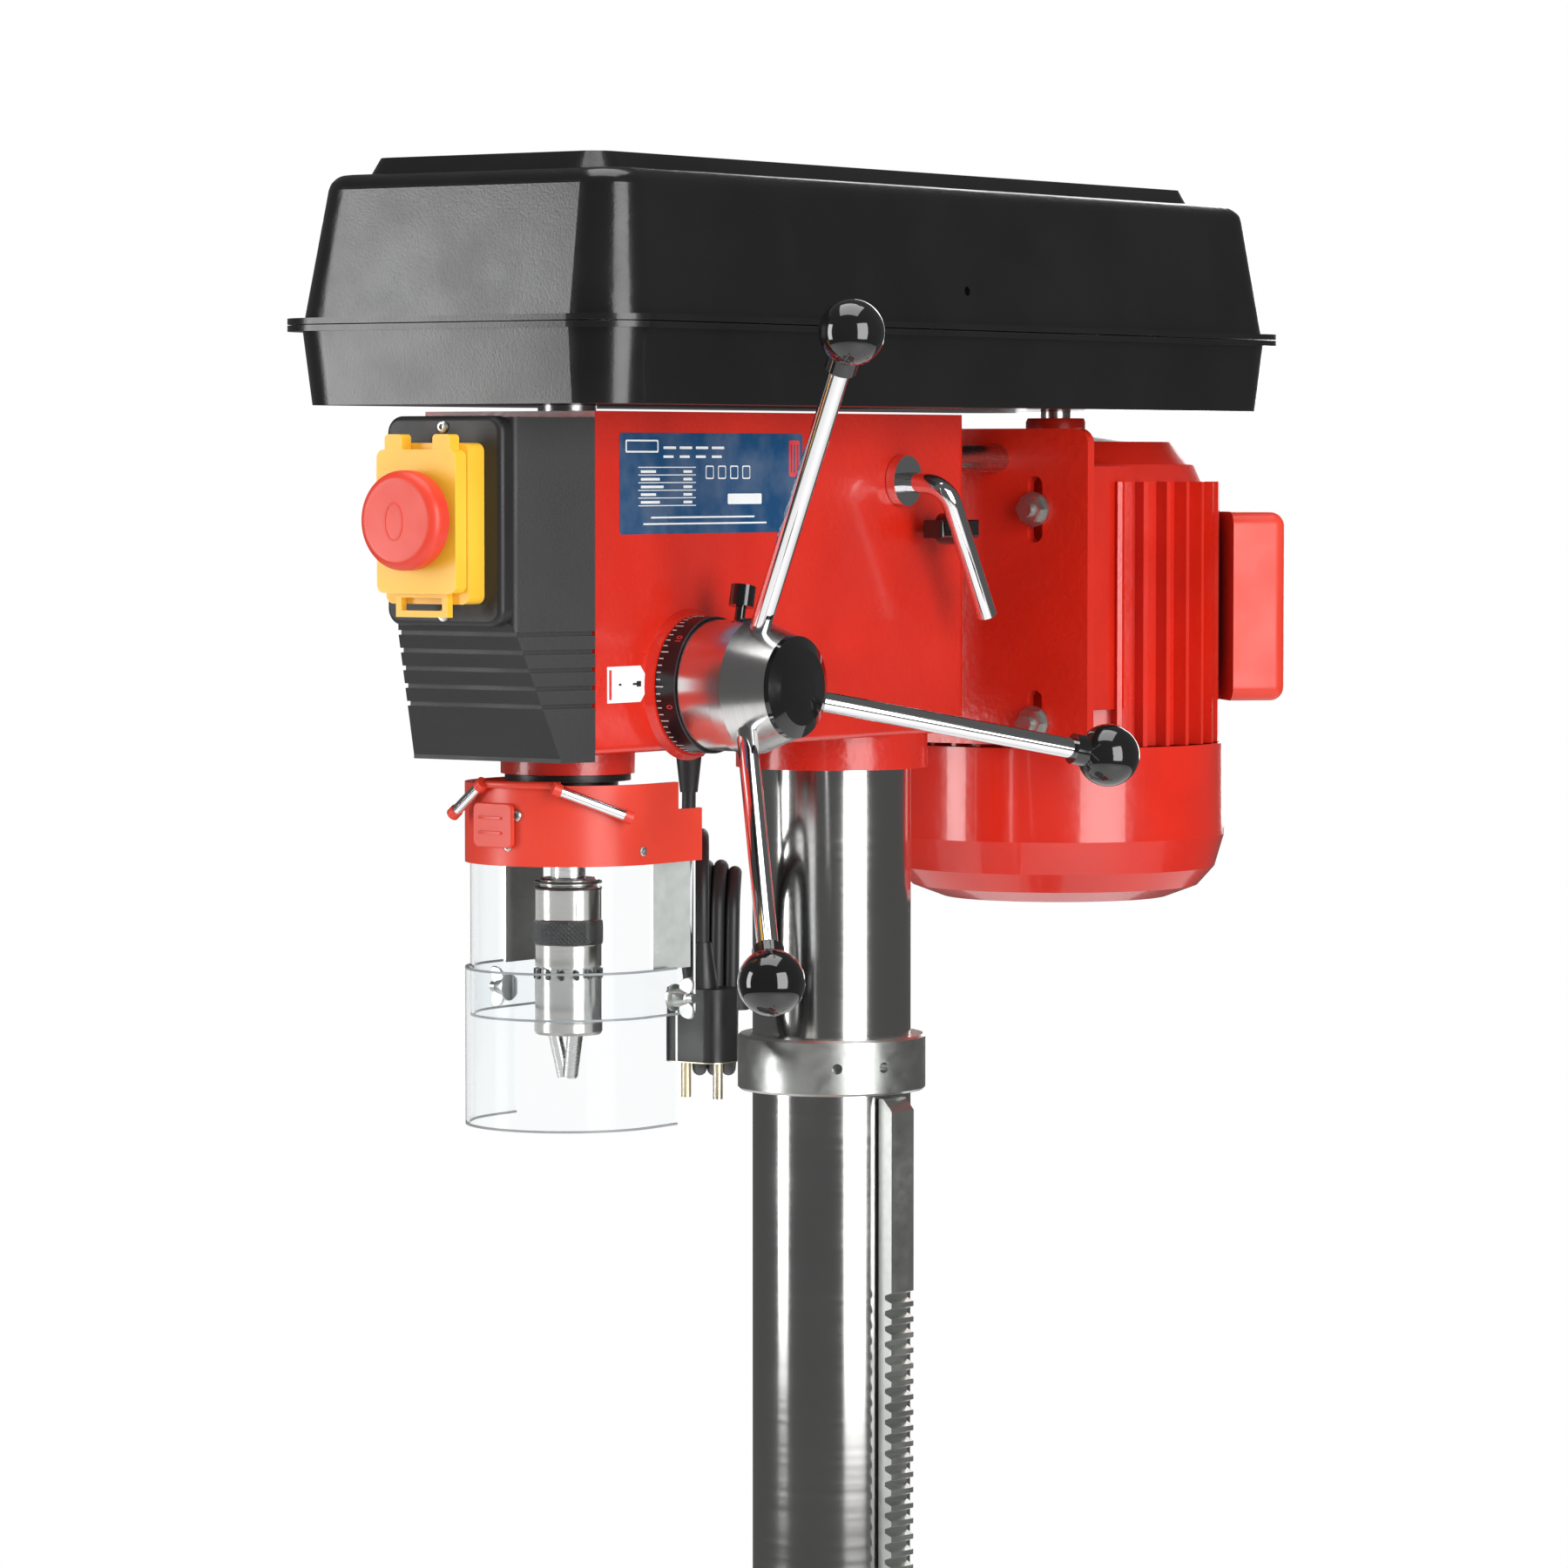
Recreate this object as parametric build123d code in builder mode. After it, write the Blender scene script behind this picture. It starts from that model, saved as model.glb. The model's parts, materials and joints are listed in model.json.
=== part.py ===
from build123d import *
import math
import os

# Floor-standing drill press, in millimetres. The origin is on the floor on the column's axis.
# +Z is up, the operator stands on the -Y side, and the feed handles are on the +X side.

# Driving dimensions
SPINDLE_Y = -221.0
MOTOR_Y = 210.0
HUB_Y = -192.0
HUB_Z = 1362.0
QUILL_TRAVEL = 60.0
RUN = 0.05  # radial clearance of a running fit
GAP = 0.4  # clearance between pieces that pass each other

COLUMN_R = 40.0
COLUMN_TOP = 1450.0
FLANGE_TOP = 120.0

HEAD_X = 50.0
HEAD_FRONT = -266.0
HEAD_REAR = 49.0
HEAD_BOTTOM = 1331.0
HEAD_TOP = 1491.0
HEAD_WALL = 9.0

CASE_X = 104.5
CASE_FRONT = -321.0
CASE_REAR = 285.0
CASE_BOTTOM = 1494.0
CASE_SPLIT = 1531.5
CASE_EDGE = 1602.0
CASE_TOP = 1610.0
CASE_WALL = 2.5

QUILL_R = 20.0
QUILL_BOTTOM = 1290.0
QUILL_TOP = 1465.0
SPINDLE_R = 10.0
SPLINE_R = 8.0

FEED_MODULE = 1.5
FEED_TEETH = 14
TABLE_MODULE = 2.5
TABLE_TEETH = 12

RACK_ANGLE = -10.0
RACK_IN = 41.0
RACK_DEPTH = 9.0
RACK_WIDTH = 16.0
RACK_TOP = 1149.0
RACK_TEETH_TOP = 1050.0

TABLE_TOP = 800.0
TABLE_R = 145.0
BRACKET_R = 60.0
BRACKET_Z0 = 680.0
BRACKET_Z1 = 790.0
TILT_Z = 726.0

BAR_X = 28.0
BAR_Z = 1469.0
MOTOR_R = 87.0
MOTOR_Z0 = 1319.0
MOTOR_Z1 = 1457.0
CORD_D = 7.0

os.makedirs("parts", exist_ok=True)


def level(z, y=0.0, x=0.0):
    """A horizontal sketch plane at height z, centred over (x, y)."""
    return Plane((x, y, z))


def side(x, y=0.0, z=0.0):
    """A sketch plane that faces +X: its first axis is +Y and its second +Z."""
    return Plane((x, y, z), x_dir=(0, 1, 0), z_dir=(1, 0, 0))


def front(y, x=0.0, z=0.0):
    """A sketch plane that faces -Y: its first axis is +X and its second +Z."""
    return Plane((x, y, z), x_dir=(1, 0, 0), z_dir=(0, -1, 0))


def save(piece, name):
    """Labels a finished piece and writes its STEP file."""
    piece.part.label = name
    export_step(piece.part, "parts/" + name + ".step")


def turned(points, y=0.0, x=0.0):
    """A body turned about the vertical through (x, y) from (radius, height) points."""
    with BuildPart() as body:
        with BuildSketch(Plane((x, y, 0), x_dir=(1, 0, 0), z_dir=(0, -1, 0))):
            with BuildLine():
                Polyline(*points, close=True)
            make_face()
        revolve(axis=Axis((x, y, 0), (0, 0, 1)))
    return body.part


def turned_on_x(points, y=HUB_Y, z=HUB_Z):
    """A body turned about the line along X through (y, z) from (x, radius) points."""
    with BuildPart() as body:
        with BuildSketch(Plane((0, y, z), x_dir=(1, 0, 0), z_dir=(0, -1, 0))):
            with BuildLine():
                Polyline(*points, close=True)
            make_face()
        revolve(axis=Axis((0, y, z), (1, 0, 0)))
    return body.part


def gear_outline(module, teeth, backlash, centre=(0.0, 0.0), addendum=0.78, dedendum=0.98):
    """Points of a stub-tooth involute gear with 20 degree flanks and one tooth against its first axis."""
    pitch_r = module * teeth / 2
    base_r = pitch_r * math.cos(math.radians(20))
    tip_r = pitch_r + addendum * module
    root_r = pitch_r - dedendum * module
    pitch_half = (math.pi * module / 2 - backlash) / (2 * pitch_r)

    def involute(radius):
        angle = math.acos(min(1.0, base_r / radius))
        return math.tan(angle) - angle

    def half_angle(radius):
        return pitch_half + involute(pitch_r) - involute(max(radius, base_r))

    radii = [root_r, base_r] + [base_r + (tip_r - base_r) * k / 4 for k in range(1, 5)]
    points = []
    for tooth in range(teeth):
        middle = math.pi + 2 * math.pi * tooth / teeth
        flank = [(r, middle - half_angle(r)) for r in radii]
        flank += [(r, middle + half_angle(r)) for r in reversed(radii)]
        points += [(centre[0] + r * math.cos(a), centre[1] + r * math.sin(a)) for r, a in flank]
    return points


def rack_gap(module, over=0.5, tip=0.78, depth=1.02):
    """One gap between rack teeth: its half-width just over the tips, its half-width at its floor, its depth."""
    slope = math.tan(math.radians(20))
    half = math.pi * module / 4
    mouth = half + (tip * module + over) * slope
    return mouth, half - depth * module * slope, (tip + depth) * module


# Base, column flange and column -----------------------------------------------------------------
with BuildPart() as base:
    with BuildSketch(level(0, -95)):
        RectangleRounded(290, 470, 30)
    extrude(amount=34, taper=6)
    with BuildSketch(level(0, -95)):
        RectangleRounded(262, 442, 22)
    extrude(amount=22, mode=Mode.SUBTRACT, taper=4)
    with BuildSketch(level(10)):
        Circle(88)
    extrude(amount=30)
    with BuildSketch(level(0)):
        Circle(30)
    extrude(amount=24)
    with BuildSketch(level(0, -95)):
        with GridLocations(210, 380, 2, 2):
            Circle(20)
    extrude(amount=33)
    with BuildSketch(level(0, -95)):
        with GridLocations(210, 380, 2, 2):
            SlotOverall(26, 13)
    extrude(amount=60, mode=Mode.SUBTRACT)
    with BuildSketch(level(20, -221)):
        with GridLocations(70, 0, 2, 1):
            SlotOverall(120, 14, rotation=90)
    extrude(amount=40, mode=Mode.SUBTRACT)
save(base, "base")

with BuildPart() as column_flange:
    add(turned([
        (COLUMN_R + RUN, 40), (80, 40), (80, 56), (58, 56), (54, FLANGE_TOP - 2), (52, FLANGE_TOP),
        (COLUMN_R + RUN, FLANGE_TOP),
    ]))
    with BuildSketch(level(30)):
        with PolarLocations(69, 4, start_angle=45):
            Circle(5.5)
    extrude(amount=40, mode=Mode.SUBTRACT)
save(column_flange, "column_flange")

with BuildPart() as flange_bolts:
    with BuildSketch(level(56)):
        with PolarLocations(69, 4, start_angle=45):
            Circle(9.5)
    extrude(amount=1.8)
    with BuildSketch(level(57.8)):
        with PolarLocations(69, 4, start_angle=45):
            RegularPolygon(8.0, 6)
    extrude(amount=6.4)
save(flange_bolts, "flange_bolts")

with BuildPart() as column:
    with BuildSketch(level(40)):
        Circle(COLUMN_R)
        Circle(COLUMN_R - 4, mode=Mode.SUBTRACT)
    extrude(amount=COLUMN_TOP - 40)
save(column, "column")

with BuildPart() as rack_collar:
    with BuildSketch(level(1151)):
        Circle(47.5)
        Circle(COLUMN_R + RUN, mode=Mode.SUBTRACT)
    extrude(amount=28)
    chamfer(rack_collar.edges().filter_by(GeomType.CIRCLE).group_by(SortBy.RADIUS)[-1], 1.2)
    for angle in (-22, -52):
        hole_dir = (math.cos(math.radians(angle)), math.sin(math.radians(angle)), 0)
        with BuildSketch(Plane((0, 0, 1165), z_dir=hole_dir)):
            Circle(2.6)
        extrude(amount=60, mode=Mode.SUBTRACT)
save(rack_collar, "rack_collar")

# Head casting -----------------------------------------------------------------------------------
HEAD_MID = (HEAD_FRONT + HEAD_REAR) / 2
HEAD_LEN = HEAD_REAR - HEAD_FRONT
with BuildPart() as head_casting:
    with BuildSketch(level(HEAD_BOTTOM, HEAD_MID)):
        Rectangle(2 * HEAD_X, HEAD_LEN)
    extrude(amount=HEAD_TOP - HEAD_BOTTOM)
    fillet(head_casting.edges().filter_by(Axis.Z).group_by(Axis.Y)[-1], 8)
    fillet(head_casting.faces().sort_by(Axis.Z)[0].edges(), 4)
    with BuildSketch(level(HEAD_BOTTOM + HEAD_WALL, HEAD_MID)):
        RectangleRounded(2 * (HEAD_X - HEAD_WALL), HEAD_LEN - 2 * HEAD_WALL, 6)
    extrude(amount=HEAD_TOP - HEAD_BOTTOM - 2 * HEAD_WALL - 3, mode=Mode.SUBTRACT)
    with BuildSketch(level(1314)):
        Circle(48.4)
    extrude(amount=HEAD_TOP - 1314)
    with BuildSketch(level(1320, SPINDLE_Y)):
        Circle(32)
    extrude(amount=HEAD_TOP - 1320)
    with BuildSketch(side(-HEAD_X, HUB_Y, HUB_Z)):
        Circle(24)
    extrude(amount=2 * HEAD_X)
    with BuildSketch(side(HEAD_X, HUB_Y, HUB_Z)):
        Circle(36)
    extrude(amount=3.6, taper=30)
    for x in (-BAR_X, BAR_X):
        with BuildSketch(front(HEAD_REAR - 4, x, BAR_Z)):
            Circle(12.2)
        extrude(amount=HEAD_LEN - 180)
    with BuildSketch(side(0, -13.5, 1458)):
        Circle(13)
    extrude(amount=HEAD_X)
    with BuildSketch(level(1300)):
        Circle(COLUMN_R + RUN)
    extrude(amount=COLUMN_TOP - 1300, mode=Mode.SUBTRACT)
    with BuildSketch(level(1300, SPINDLE_Y)):
        Circle(QUILL_R + RUN)
    extrude(amount=168, mode=Mode.SUBTRACT)
    with BuildSketch(level(1460, SPINDLE_Y)):
        Circle(14 + RUN)
    extrude(amount=60, mode=Mode.SUBTRACT)
    with BuildSketch(side(-20, HUB_Y, HUB_Z)):
        Circle(13 + RUN)
    extrude(amount=100, mode=Mode.SUBTRACT)
    with BuildSketch(side(-80, HUB_Y, HUB_Z)):
        Circle(8 + RUN)
    extrude(amount=80, mode=Mode.SUBTRACT)
    for x in (-BAR_X, BAR_X):
        with BuildSketch(front(80, x, BAR_Z)):
            Circle(7 + RUN)
        extrude(amount=112, mode=Mode.SUBTRACT)
    with BuildSketch(side(37.5, -13.5, 1458)):
        Circle(6 + RUN)
    extrude(amount=30, mode=Mode.SUBTRACT)
    with BuildSketch(side(38, 12, 1434)):
        Circle(4 + RUN)
    extrude(amount=20, mode=Mode.SUBTRACT)
save(head_casting, "head_casting")

GROOVES = 5
GROOVE_TOP = 1389.0
GROOVE_PITCH = 8.4
GROOVE_HIGH = 2.2
GROOVE_DEEP = 1.4
with BuildPart() as front_housing:
    with BuildSketch(level(1328)):
        with BuildLine():
            Polyline((-50, HEAD_FRONT - 0.2), (-34, -308), (34, -308), (50, HEAD_FRONT - 0.2), close=True)
        make_face()
    extrude(amount=160)
    with BuildSketch(side(-60)):
        with BuildLine():
            Polyline((-330, 1393), (-308, 1393), (-284, 1330), (-284, 1320), (-330, 1320), close=True)
        make_face()
    extrude(amount=120, mode=Mode.SUBTRACT)
    fillet(front_housing.edges().filter_by(Axis.Z).group_by(Axis.Y)[0], 4)
    with BuildSketch(front(-308, 0, 1440)):
        RectangleRounded(68, 97, 8)
    extrude(amount=8)
    fillet(front_housing.faces().sort_by(Axis.Y)[0].edges(), 3)
    for count in range(GROOVES):
        height = GROOVE_TOP - GROOVE_PITCH * count
        face = -308 + (1393 - height) * 24 / 63 + GROOVE_DEEP
        half = 34 + (face + 308) * 16 / 41.8 - GROOVE_DEEP
        with BuildSketch(level(height - GROOVE_HIGH, -293)):
            Rectangle(130, 54)
            with BuildLine():
                Polyline(
                    (-half, face + 293), (half, face + 293), (50 - GROOVE_DEEP, 28), (GROOVE_DEEP - 50, 28),
                    close=True,
                )
            make_face(mode=Mode.SUBTRACT)
        extrude(amount=GROOVE_HIGH, mode=Mode.SUBTRACT)
    with BuildSketch(level(1397)):
        with BuildLine():
            Polyline((-46, -260), (-30.5, -304.5), (30.5, -304.5), (46, -260), close=True)
        make_face()
    extrude(amount=88, mode=Mode.SUBTRACT)
save(front_housing, "front_housing")

# Switch -----------------------------------------------------------------------------------------
SWITCH_BACK = -316.2
FLAP_BACK = -328.4
BUTTON_BACK = -322.4
BUTTON_TRAVEL = 3.0
POCKET_FLOOR = BUTTON_BACK + BUTTON_TRAVEL + 0.6
with BuildPart() as switch_body:
    with BuildSketch(front(SWITCH_BACK, 0, 1439)):
        RectangleRounded(48, 74, 4)
    extrude(amount=12)
    for x in (-13, 13):
        with BuildSketch(front(POCKET_FLOOR, x, 1439)):
            Rectangle(14.8, 18.8)
        extrude(amount=20, mode=Mode.SUBTRACT)
save(switch_body, "switch_body")

for name, x in (("start_button", -13), ("stop_button", 13)):
    with BuildPart() as button:
        with BuildSketch(front(BUTTON_BACK, x, 1439)):
            RectangleRounded(14, 18, 2)
        extrude(amount=5.6)
    save(button, name)

with BuildPart() as switch_flap:
    with BuildSketch(front(FLAP_BACK, 0, 1440)):
        RectangleRounded(46, 66, 4)
    extrude(amount=8)
    with BuildSketch(front(FLAP_BACK, 0, 1474)):
        with GridLocations(28, 0, 2, 1):
            RectangleRounded(10, 12, 2)
    extrude(amount=7)
    with BuildSketch(front(FLAP_BACK, 0, 1402)):
        Rectangle(30, 12)
        Rectangle(24, 6, mode=Mode.SUBTRACT)
    extrude(amount=4)
    with BuildSketch(front(FLAP_BACK + 1, 0, 1440.5)):
        Circle(9 + RUN)
    extrude(amount=12, mode=Mode.SUBTRACT)
save(switch_flap, "switch_flap")

with BuildPart() as stop_mushroom:
    with BuildSketch(front(FLAP_BACK - 4.4, 0, 1440.5)):
        Circle(9)
    extrude(amount=10)
    with BuildSketch(front(FLAP_BACK - 12.4, 0, 1440.5)):
        Circle(23)
    extrude(amount=10)
    fillet(stop_mushroom.faces().sort_by(Axis.Y)[0].edges(), 5)
save(stop_mushroom, "stop_mushroom")

# Belt case --------------------------------------------------------------------------------------
CASE_MID = (CASE_FRONT + CASE_REAR) / 2
CASE_LEN = CASE_REAR - CASE_FRONT
with BuildPart() as belt_pan:
    with BuildSketch(level(CASE_BOTTOM, CASE_MID)):
        RectangleRounded(2 * CASE_X - 20, CASE_LEN - 20, 24)
    with BuildSketch(level(CASE_SPLIT - 3, CASE_MID)):
        RectangleRounded(2 * CASE_X - 12, CASE_LEN - 12, 27)
    loft()
    with BuildSketch(level(CASE_SPLIT - 3, CASE_MID)):
        RectangleRounded(2 * CASE_X, CASE_LEN, 30)
    extrude(amount=2.8)
    with BuildSketch(level(CASE_BOTTOM + CASE_WALL, CASE_MID)):
        RectangleRounded(2 * CASE_X - 20 - 2 * CASE_WALL, CASE_LEN - 20 - 2 * CASE_WALL, 22)
    extrude(amount=50, mode=Mode.SUBTRACT)
    with BuildSketch(level(CASE_BOTTOM - 5, SPINDLE_Y)):
        Circle(14.6)
    extrude(amount=20, mode=Mode.SUBTRACT)
    with BuildSketch(level(CASE_BOTTOM - 5, MOTOR_Y - 6)):
        SlotOverall(40, 26, rotation=90)
    extrude(amount=20, mode=Mode.SUBTRACT)
save(belt_pan, "belt_pan")

with BuildPart() as belt_lid:
    with BuildSketch(level(CASE_SPLIT + 3, CASE_MID)):
        RectangleRounded(2 * CASE_X - 14, CASE_LEN - 14, 26)
    with BuildSketch(level(CASE_EDGE, CASE_MID)):
        RectangleRounded(2 * CASE_X - 32, CASE_LEN - 40, 20)
    loft()
    fillet(belt_lid.faces().sort_by(Axis.Z)[-1].edges(), 9)
    with BuildSketch(level(CASE_EDGE - 1, -26)):
        RectangleRounded(144, 528, 16)
    extrude(amount=CASE_TOP - CASE_EDGE + 1, taper=30)
    with BuildSketch(level(CASE_SPLIT + 0.3, CASE_MID)):
        RectangleRounded(2 * CASE_X, CASE_LEN, 30)
    extrude(amount=2.8)
    with BuildSketch(level(CASE_SPLIT - 1, CASE_MID)):
        RectangleRounded(2 * CASE_X - 19, CASE_LEN - 19, 22)
    with BuildSketch(level(CASE_EDGE - 3, CASE_MID)):
        RectangleRounded(2 * CASE_X - 40, CASE_LEN - 48, 16)
    loft(mode=Mode.SUBTRACT)
    with BuildSketch(side(70, -21, 1551)):
        Circle(2.4)
    extrude(amount=40, mode=Mode.SUBTRACT)
save(belt_lid, "belt_lid")


# Pulleys, idler post and belts ------------------------------------------------------------------
def stepped(radii, z0, pitch, bore, sleeve=0.0, sleeve_z=0.0, y=0.0):
    """A stepped V pulley: one groove of each radius, upwards from z0, with a plain sleeve below."""
    points = [(bore, z0 - sleeve_z), (sleeve, z0 - sleeve_z), (sleeve, z0)] if sleeve else [(bore, z0)]
    for index, radius in enumerate(radii):
        low = z0 + index * pitch
        points += [(radius, low), (radius, low + 2), (radius - 6, low + pitch / 2 - 1)]
        points += [(radius - 6, low + pitch / 2 + 1), (radius, low + pitch - 2), (radius, low + pitch)]
    points.append((bore, z0 + len(radii) * pitch))
    return turned(points, y)


PULLEY_Z = 1502.0
STEP = 15.0
with BuildPart() as spindle_pulley:
    add(stepped((66, 58, 50, 42), PULLEY_Z, STEP, SPLINE_R + RUN, 14.0, 30.0, SPINDLE_Y))
save(spindle_pulley, "spindle_pulley")
IDLER_Y = -10.0
with BuildPart() as idler_pulley:
    add(stepped((56, 48, 62, 54, 46), PULLEY_Z, STEP, 8 + RUN, 0, 0, IDLER_Y))
save(idler_pulley, "idler_pulley")
with BuildPart() as idler_post:
    add(turned([(0, 1497.2), (16, 1497.2), (16, 1501), (8, 1501), (8, 1585), (0, 1585)], IDLER_Y))
save(idler_post, "idler_post")
with BuildPart() as motor_pulley:
    add(stepped((36, 44, 52), PULLEY_Z, STEP, 8 + RUN, 11.0, 4.0, MOTOR_Y))
save(motor_pulley, "motor_pulley")


def belt_plan(y_a, r_a, y_b, r_b, z):
    """A V belt round two pulleys on the X = 0 line: outer radii r_a and r_b at y_a and y_b."""
    outlines = []
    for inset in (0.0, 4.0):
        rim_a, rim_b = r_a - inset, r_b - inset
        tilt = math.asin((rim_a - rim_b) / (y_b - y_a))
        across, along = math.cos(tilt), math.sin(tilt)
        outlines.append([
            (rim_a * across, y_a + rim_a * along), (rim_b * across, y_b + rim_b * along), (0, y_b + rim_b),
            (-rim_b * across, y_b + rim_b * along), (-rim_a * across, y_a + rim_a * along), (0, y_a - rim_a),
        ])
    with BuildSketch(level(z - 2.7)) as plan:
        for points, mode in ((outlines[0], Mode.ADD), (outlines[1], Mode.SUBTRACT)):
            with BuildLine():
                Line(points[0], points[1])
                ThreePointArc(points[1], points[2], points[3])
                Line(points[3], points[4])
                ThreePointArc(points[4], points[5], points[0])
            make_face(mode=mode)
    return plan.sketch


with BuildPart() as belts:
    extrude(belt_plan(SPINDLE_Y, 59.2, IDLER_Y, 49.2, PULLEY_Z + 1.5 * STEP), amount=5.4)
    extrude(belt_plan(IDLER_Y, 63.2, MOTOR_Y, 53.2, PULLEY_Z + 2.5 * STEP), amount=5.4)
save(belts, "belts")

# Quill, spindle and chuck -----------------------------------------------------------------------
PITCH = math.pi * FEED_MODULE
FEED_PITCH_Y = HUB_Y - FEED_MODULE * FEED_TEETH / 2
with BuildPart() as quill:
    add(turned([
        (14, QUILL_BOTTOM), (QUILL_R, QUILL_BOTTOM), (QUILL_R, QUILL_TOP), (14, QUILL_TOP),
    ], SPINDLE_Y))
    mouth, floor, deep = rack_gap(FEED_MODULE)
    tip_y = FEED_PITCH_Y + 0.78 * FEED_MODULE
    with BuildSketch(level(1350, tip_y + 5)):
        Rectangle(40, 10)
    extrude(amount=96, mode=Mode.SUBTRACT)
    with BuildSketch(side(-20, tip_y, HUB_Z)):
        for count in range(-2, 17):
            with BuildLine():
                Polyline(
                    (0.5, count * PITCH + mouth), (0.5, count * PITCH - mouth),
                    (-deep, count * PITCH - floor), (-deep, count * PITCH + floor), close=True,
                )
            make_face()
    extrude(amount=40, mode=Mode.SUBTRACT)
save(quill, "quill")

with BuildPart() as quill_bearings:
    for z in (QUILL_BOTTOM + 2, QUILL_TOP - 14):
        with BuildSketch(level(z, SPINDLE_Y)):
            Circle(13.95)
            Circle(SPINDLE_R + RUN, mode=Mode.SUBTRACT)
        extrude(amount=12)
save(quill_bearings, "quill_bearings")

with BuildPart() as guard_clamp:
    add(turned([
        (QUILL_R + RUN, 1296), (27, 1296), (27, 1299), (24, 1299), (24, 1316.6), (30, 1316.6),
        (30, 1319.6), (QUILL_R + RUN, 1319.6),
    ], SPINDLE_Y))
save(guard_clamp, "guard_clamp")

with BuildPart() as spindle:
    add(turned([
        (0, 1247), (7.4, 1247), (7.8, 1270), (8.25, 1270.2), (8.25, 1280), (SPINDLE_R, 1284), (SPINDLE_R, 1466),
        (SPLINE_R, 1466), (SPLINE_R, 1575), (0, 1575),
    ], SPINDLE_Y))
save(spindle, "spindle")

CHUCK_R = 15.8
JAW_TILT = 12.0
JAW_R = 3.2
JAW_TURNS = (90, 210, 330)
JAW_TIP_Z = 1175.0
JAW_TIP_R = 2.1


def jaw_plane(turn):
    """A plane across one jaw at its tip, facing up along the jaw, which leans outwards by JAW_TILT."""
    around = math.radians(turn)
    lean = math.radians(JAW_TILT)
    out = (math.cos(around), math.sin(around))
    origin = (JAW_TIP_R * out[0], SPINDLE_Y + JAW_TIP_R * out[1], JAW_TIP_Z)
    along = (out[0] * math.sin(lean), out[1] * math.sin(lean), math.cos(lean))
    return Plane(origin, x_dir=(-out[1], out[0], 0), z_dir=along)


with BuildPart() as chuck_body:
    add(turned([
        (7.9, 1270), (13, 1270), (14, 1269), (14, 1267), (13.6, 1266.5), (CHUCK_R, 1265), (CHUCK_R, 1250.5),
        (16.2, 1250), (16.2, 1238.5), (CHUCK_R, 1238), (CHUCK_R, 1228), (14.3, 1228), (14.3, 1196),
        (0, 1196), (0, 1246), (7.5, 1246),
    ], SPINDLE_Y))
    for turn in JAW_TURNS:
        with BuildSketch(jaw_plane(turn)):
            Circle(JAW_R + 0.35)
        extrude(amount=42, mode=Mode.SUBTRACT)
    with BuildSketch(level(1190, SPINDLE_Y)):
        Circle(5)
    extrude(amount=30, mode=Mode.SUBTRACT)
save(chuck_body, "chuck_body")

with BuildPart() as chuck_sleeve:
    add(turned([
        (14.75, 1195.5), (15.2, 1195.5), (16.2, 1197), (16.2, 1201), (CHUCK_R, 1202), (CHUCK_R, 1222), (CHUCK_R, 1227),
        (14.75, 1227),
    ], SPINDLE_Y))
    with BuildSketch(level(1223, SPINDLE_Y)):
        with PolarLocations(CHUCK_R, 16):
            Rectangle(6, 3)
    extrude(amount=10, mode=Mode.SUBTRACT)
save(chuck_sleeve, "chuck_sleeve")

for number, turn in enumerate(JAW_TURNS, 1):
    with BuildPart() as jaw:
        with BuildSketch(jaw_plane(turn)):
            Circle(JAW_R)
        extrude(amount=26)
        around = [math.radians(turn + step) for step in (-60, 60)]
        with BuildSketch(level(1170, SPINDLE_Y + 0.25 * math.sin(math.radians(turn)),
                               0.25 * math.cos(math.radians(turn)))):
            with BuildLine():
                Polyline(
                    (0, 0), (60 * math.cos(around[0]), 60 * math.sin(around[0])),
                    (60 * math.cos(around[1]), 60 * math.sin(around[1])), close=True,
                )
            make_face()
        extrude(amount=60, mode=Mode.INTERSECT)
    save(jaw, "chuck_jaw_" + str(number))

# Chuck guard ------------------------------------------------------------------------------------
GUARD_R = 49.0


def guard_outline(rear_y, outer, wall):
    """A U-shaped wall: a half circle in front of the spindle with straight legs back to rear_y."""
    leg = rear_y - SPINDLE_Y
    Circle(outer)
    with Locations((0, leg / 2)):
        Rectangle(2 * outer, leg)
    Circle(outer - wall, mode=Mode.SUBTRACT)
    with Locations((0, outer / 2 + 1)):
        Rectangle(2 * (outer - wall), outer + 2, mode=Mode.SUBTRACT)


with BuildPart() as guard_hood:
    with BuildSketch(level(1278, SPINDLE_Y)):
        guard_outline(-180, GUARD_R, 2.5)
    extrude(amount=25)
    with BuildSketch(level(1303, SPINDLE_Y)):
        guard_outline(-199, GUARD_R, 2.5)
    extrude(amount=13)
    with BuildSketch(level(1303, SPINDLE_Y)):
        Circle(GUARD_R - 1)
        Circle(24 + GAP, mode=Mode.SUBTRACT)
    extrude(amount=3)
save(guard_hood, "guard_hood")

with BuildPart() as guard_shield_upper:
    with BuildSketch(level(1205, SPINDLE_Y)):
        guard_outline(-182, GUARD_R - 2.5, 1.6)
    extrude(amount=97)
save(guard_shield_upper, "guard_shield_upper")

with BuildPart() as guard_struts:
    with BuildSketch(level(1227, SPINDLE_Y + 22)):
        with GridLocations(2 * (GUARD_R - 5.2), 0, 2, 1):
            Rectangle(1.6, 30)
    extrude(amount=74)
save(guard_struts, "guard_struts")

with BuildPart() as guard_shield_lower:
    with BuildSketch(level(1153, SPINDLE_Y)):
        guard_outline(-200, GUARD_R, 1.8)
    extrude(amount=75)
save(guard_shield_lower, "guard_shield_lower")

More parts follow.
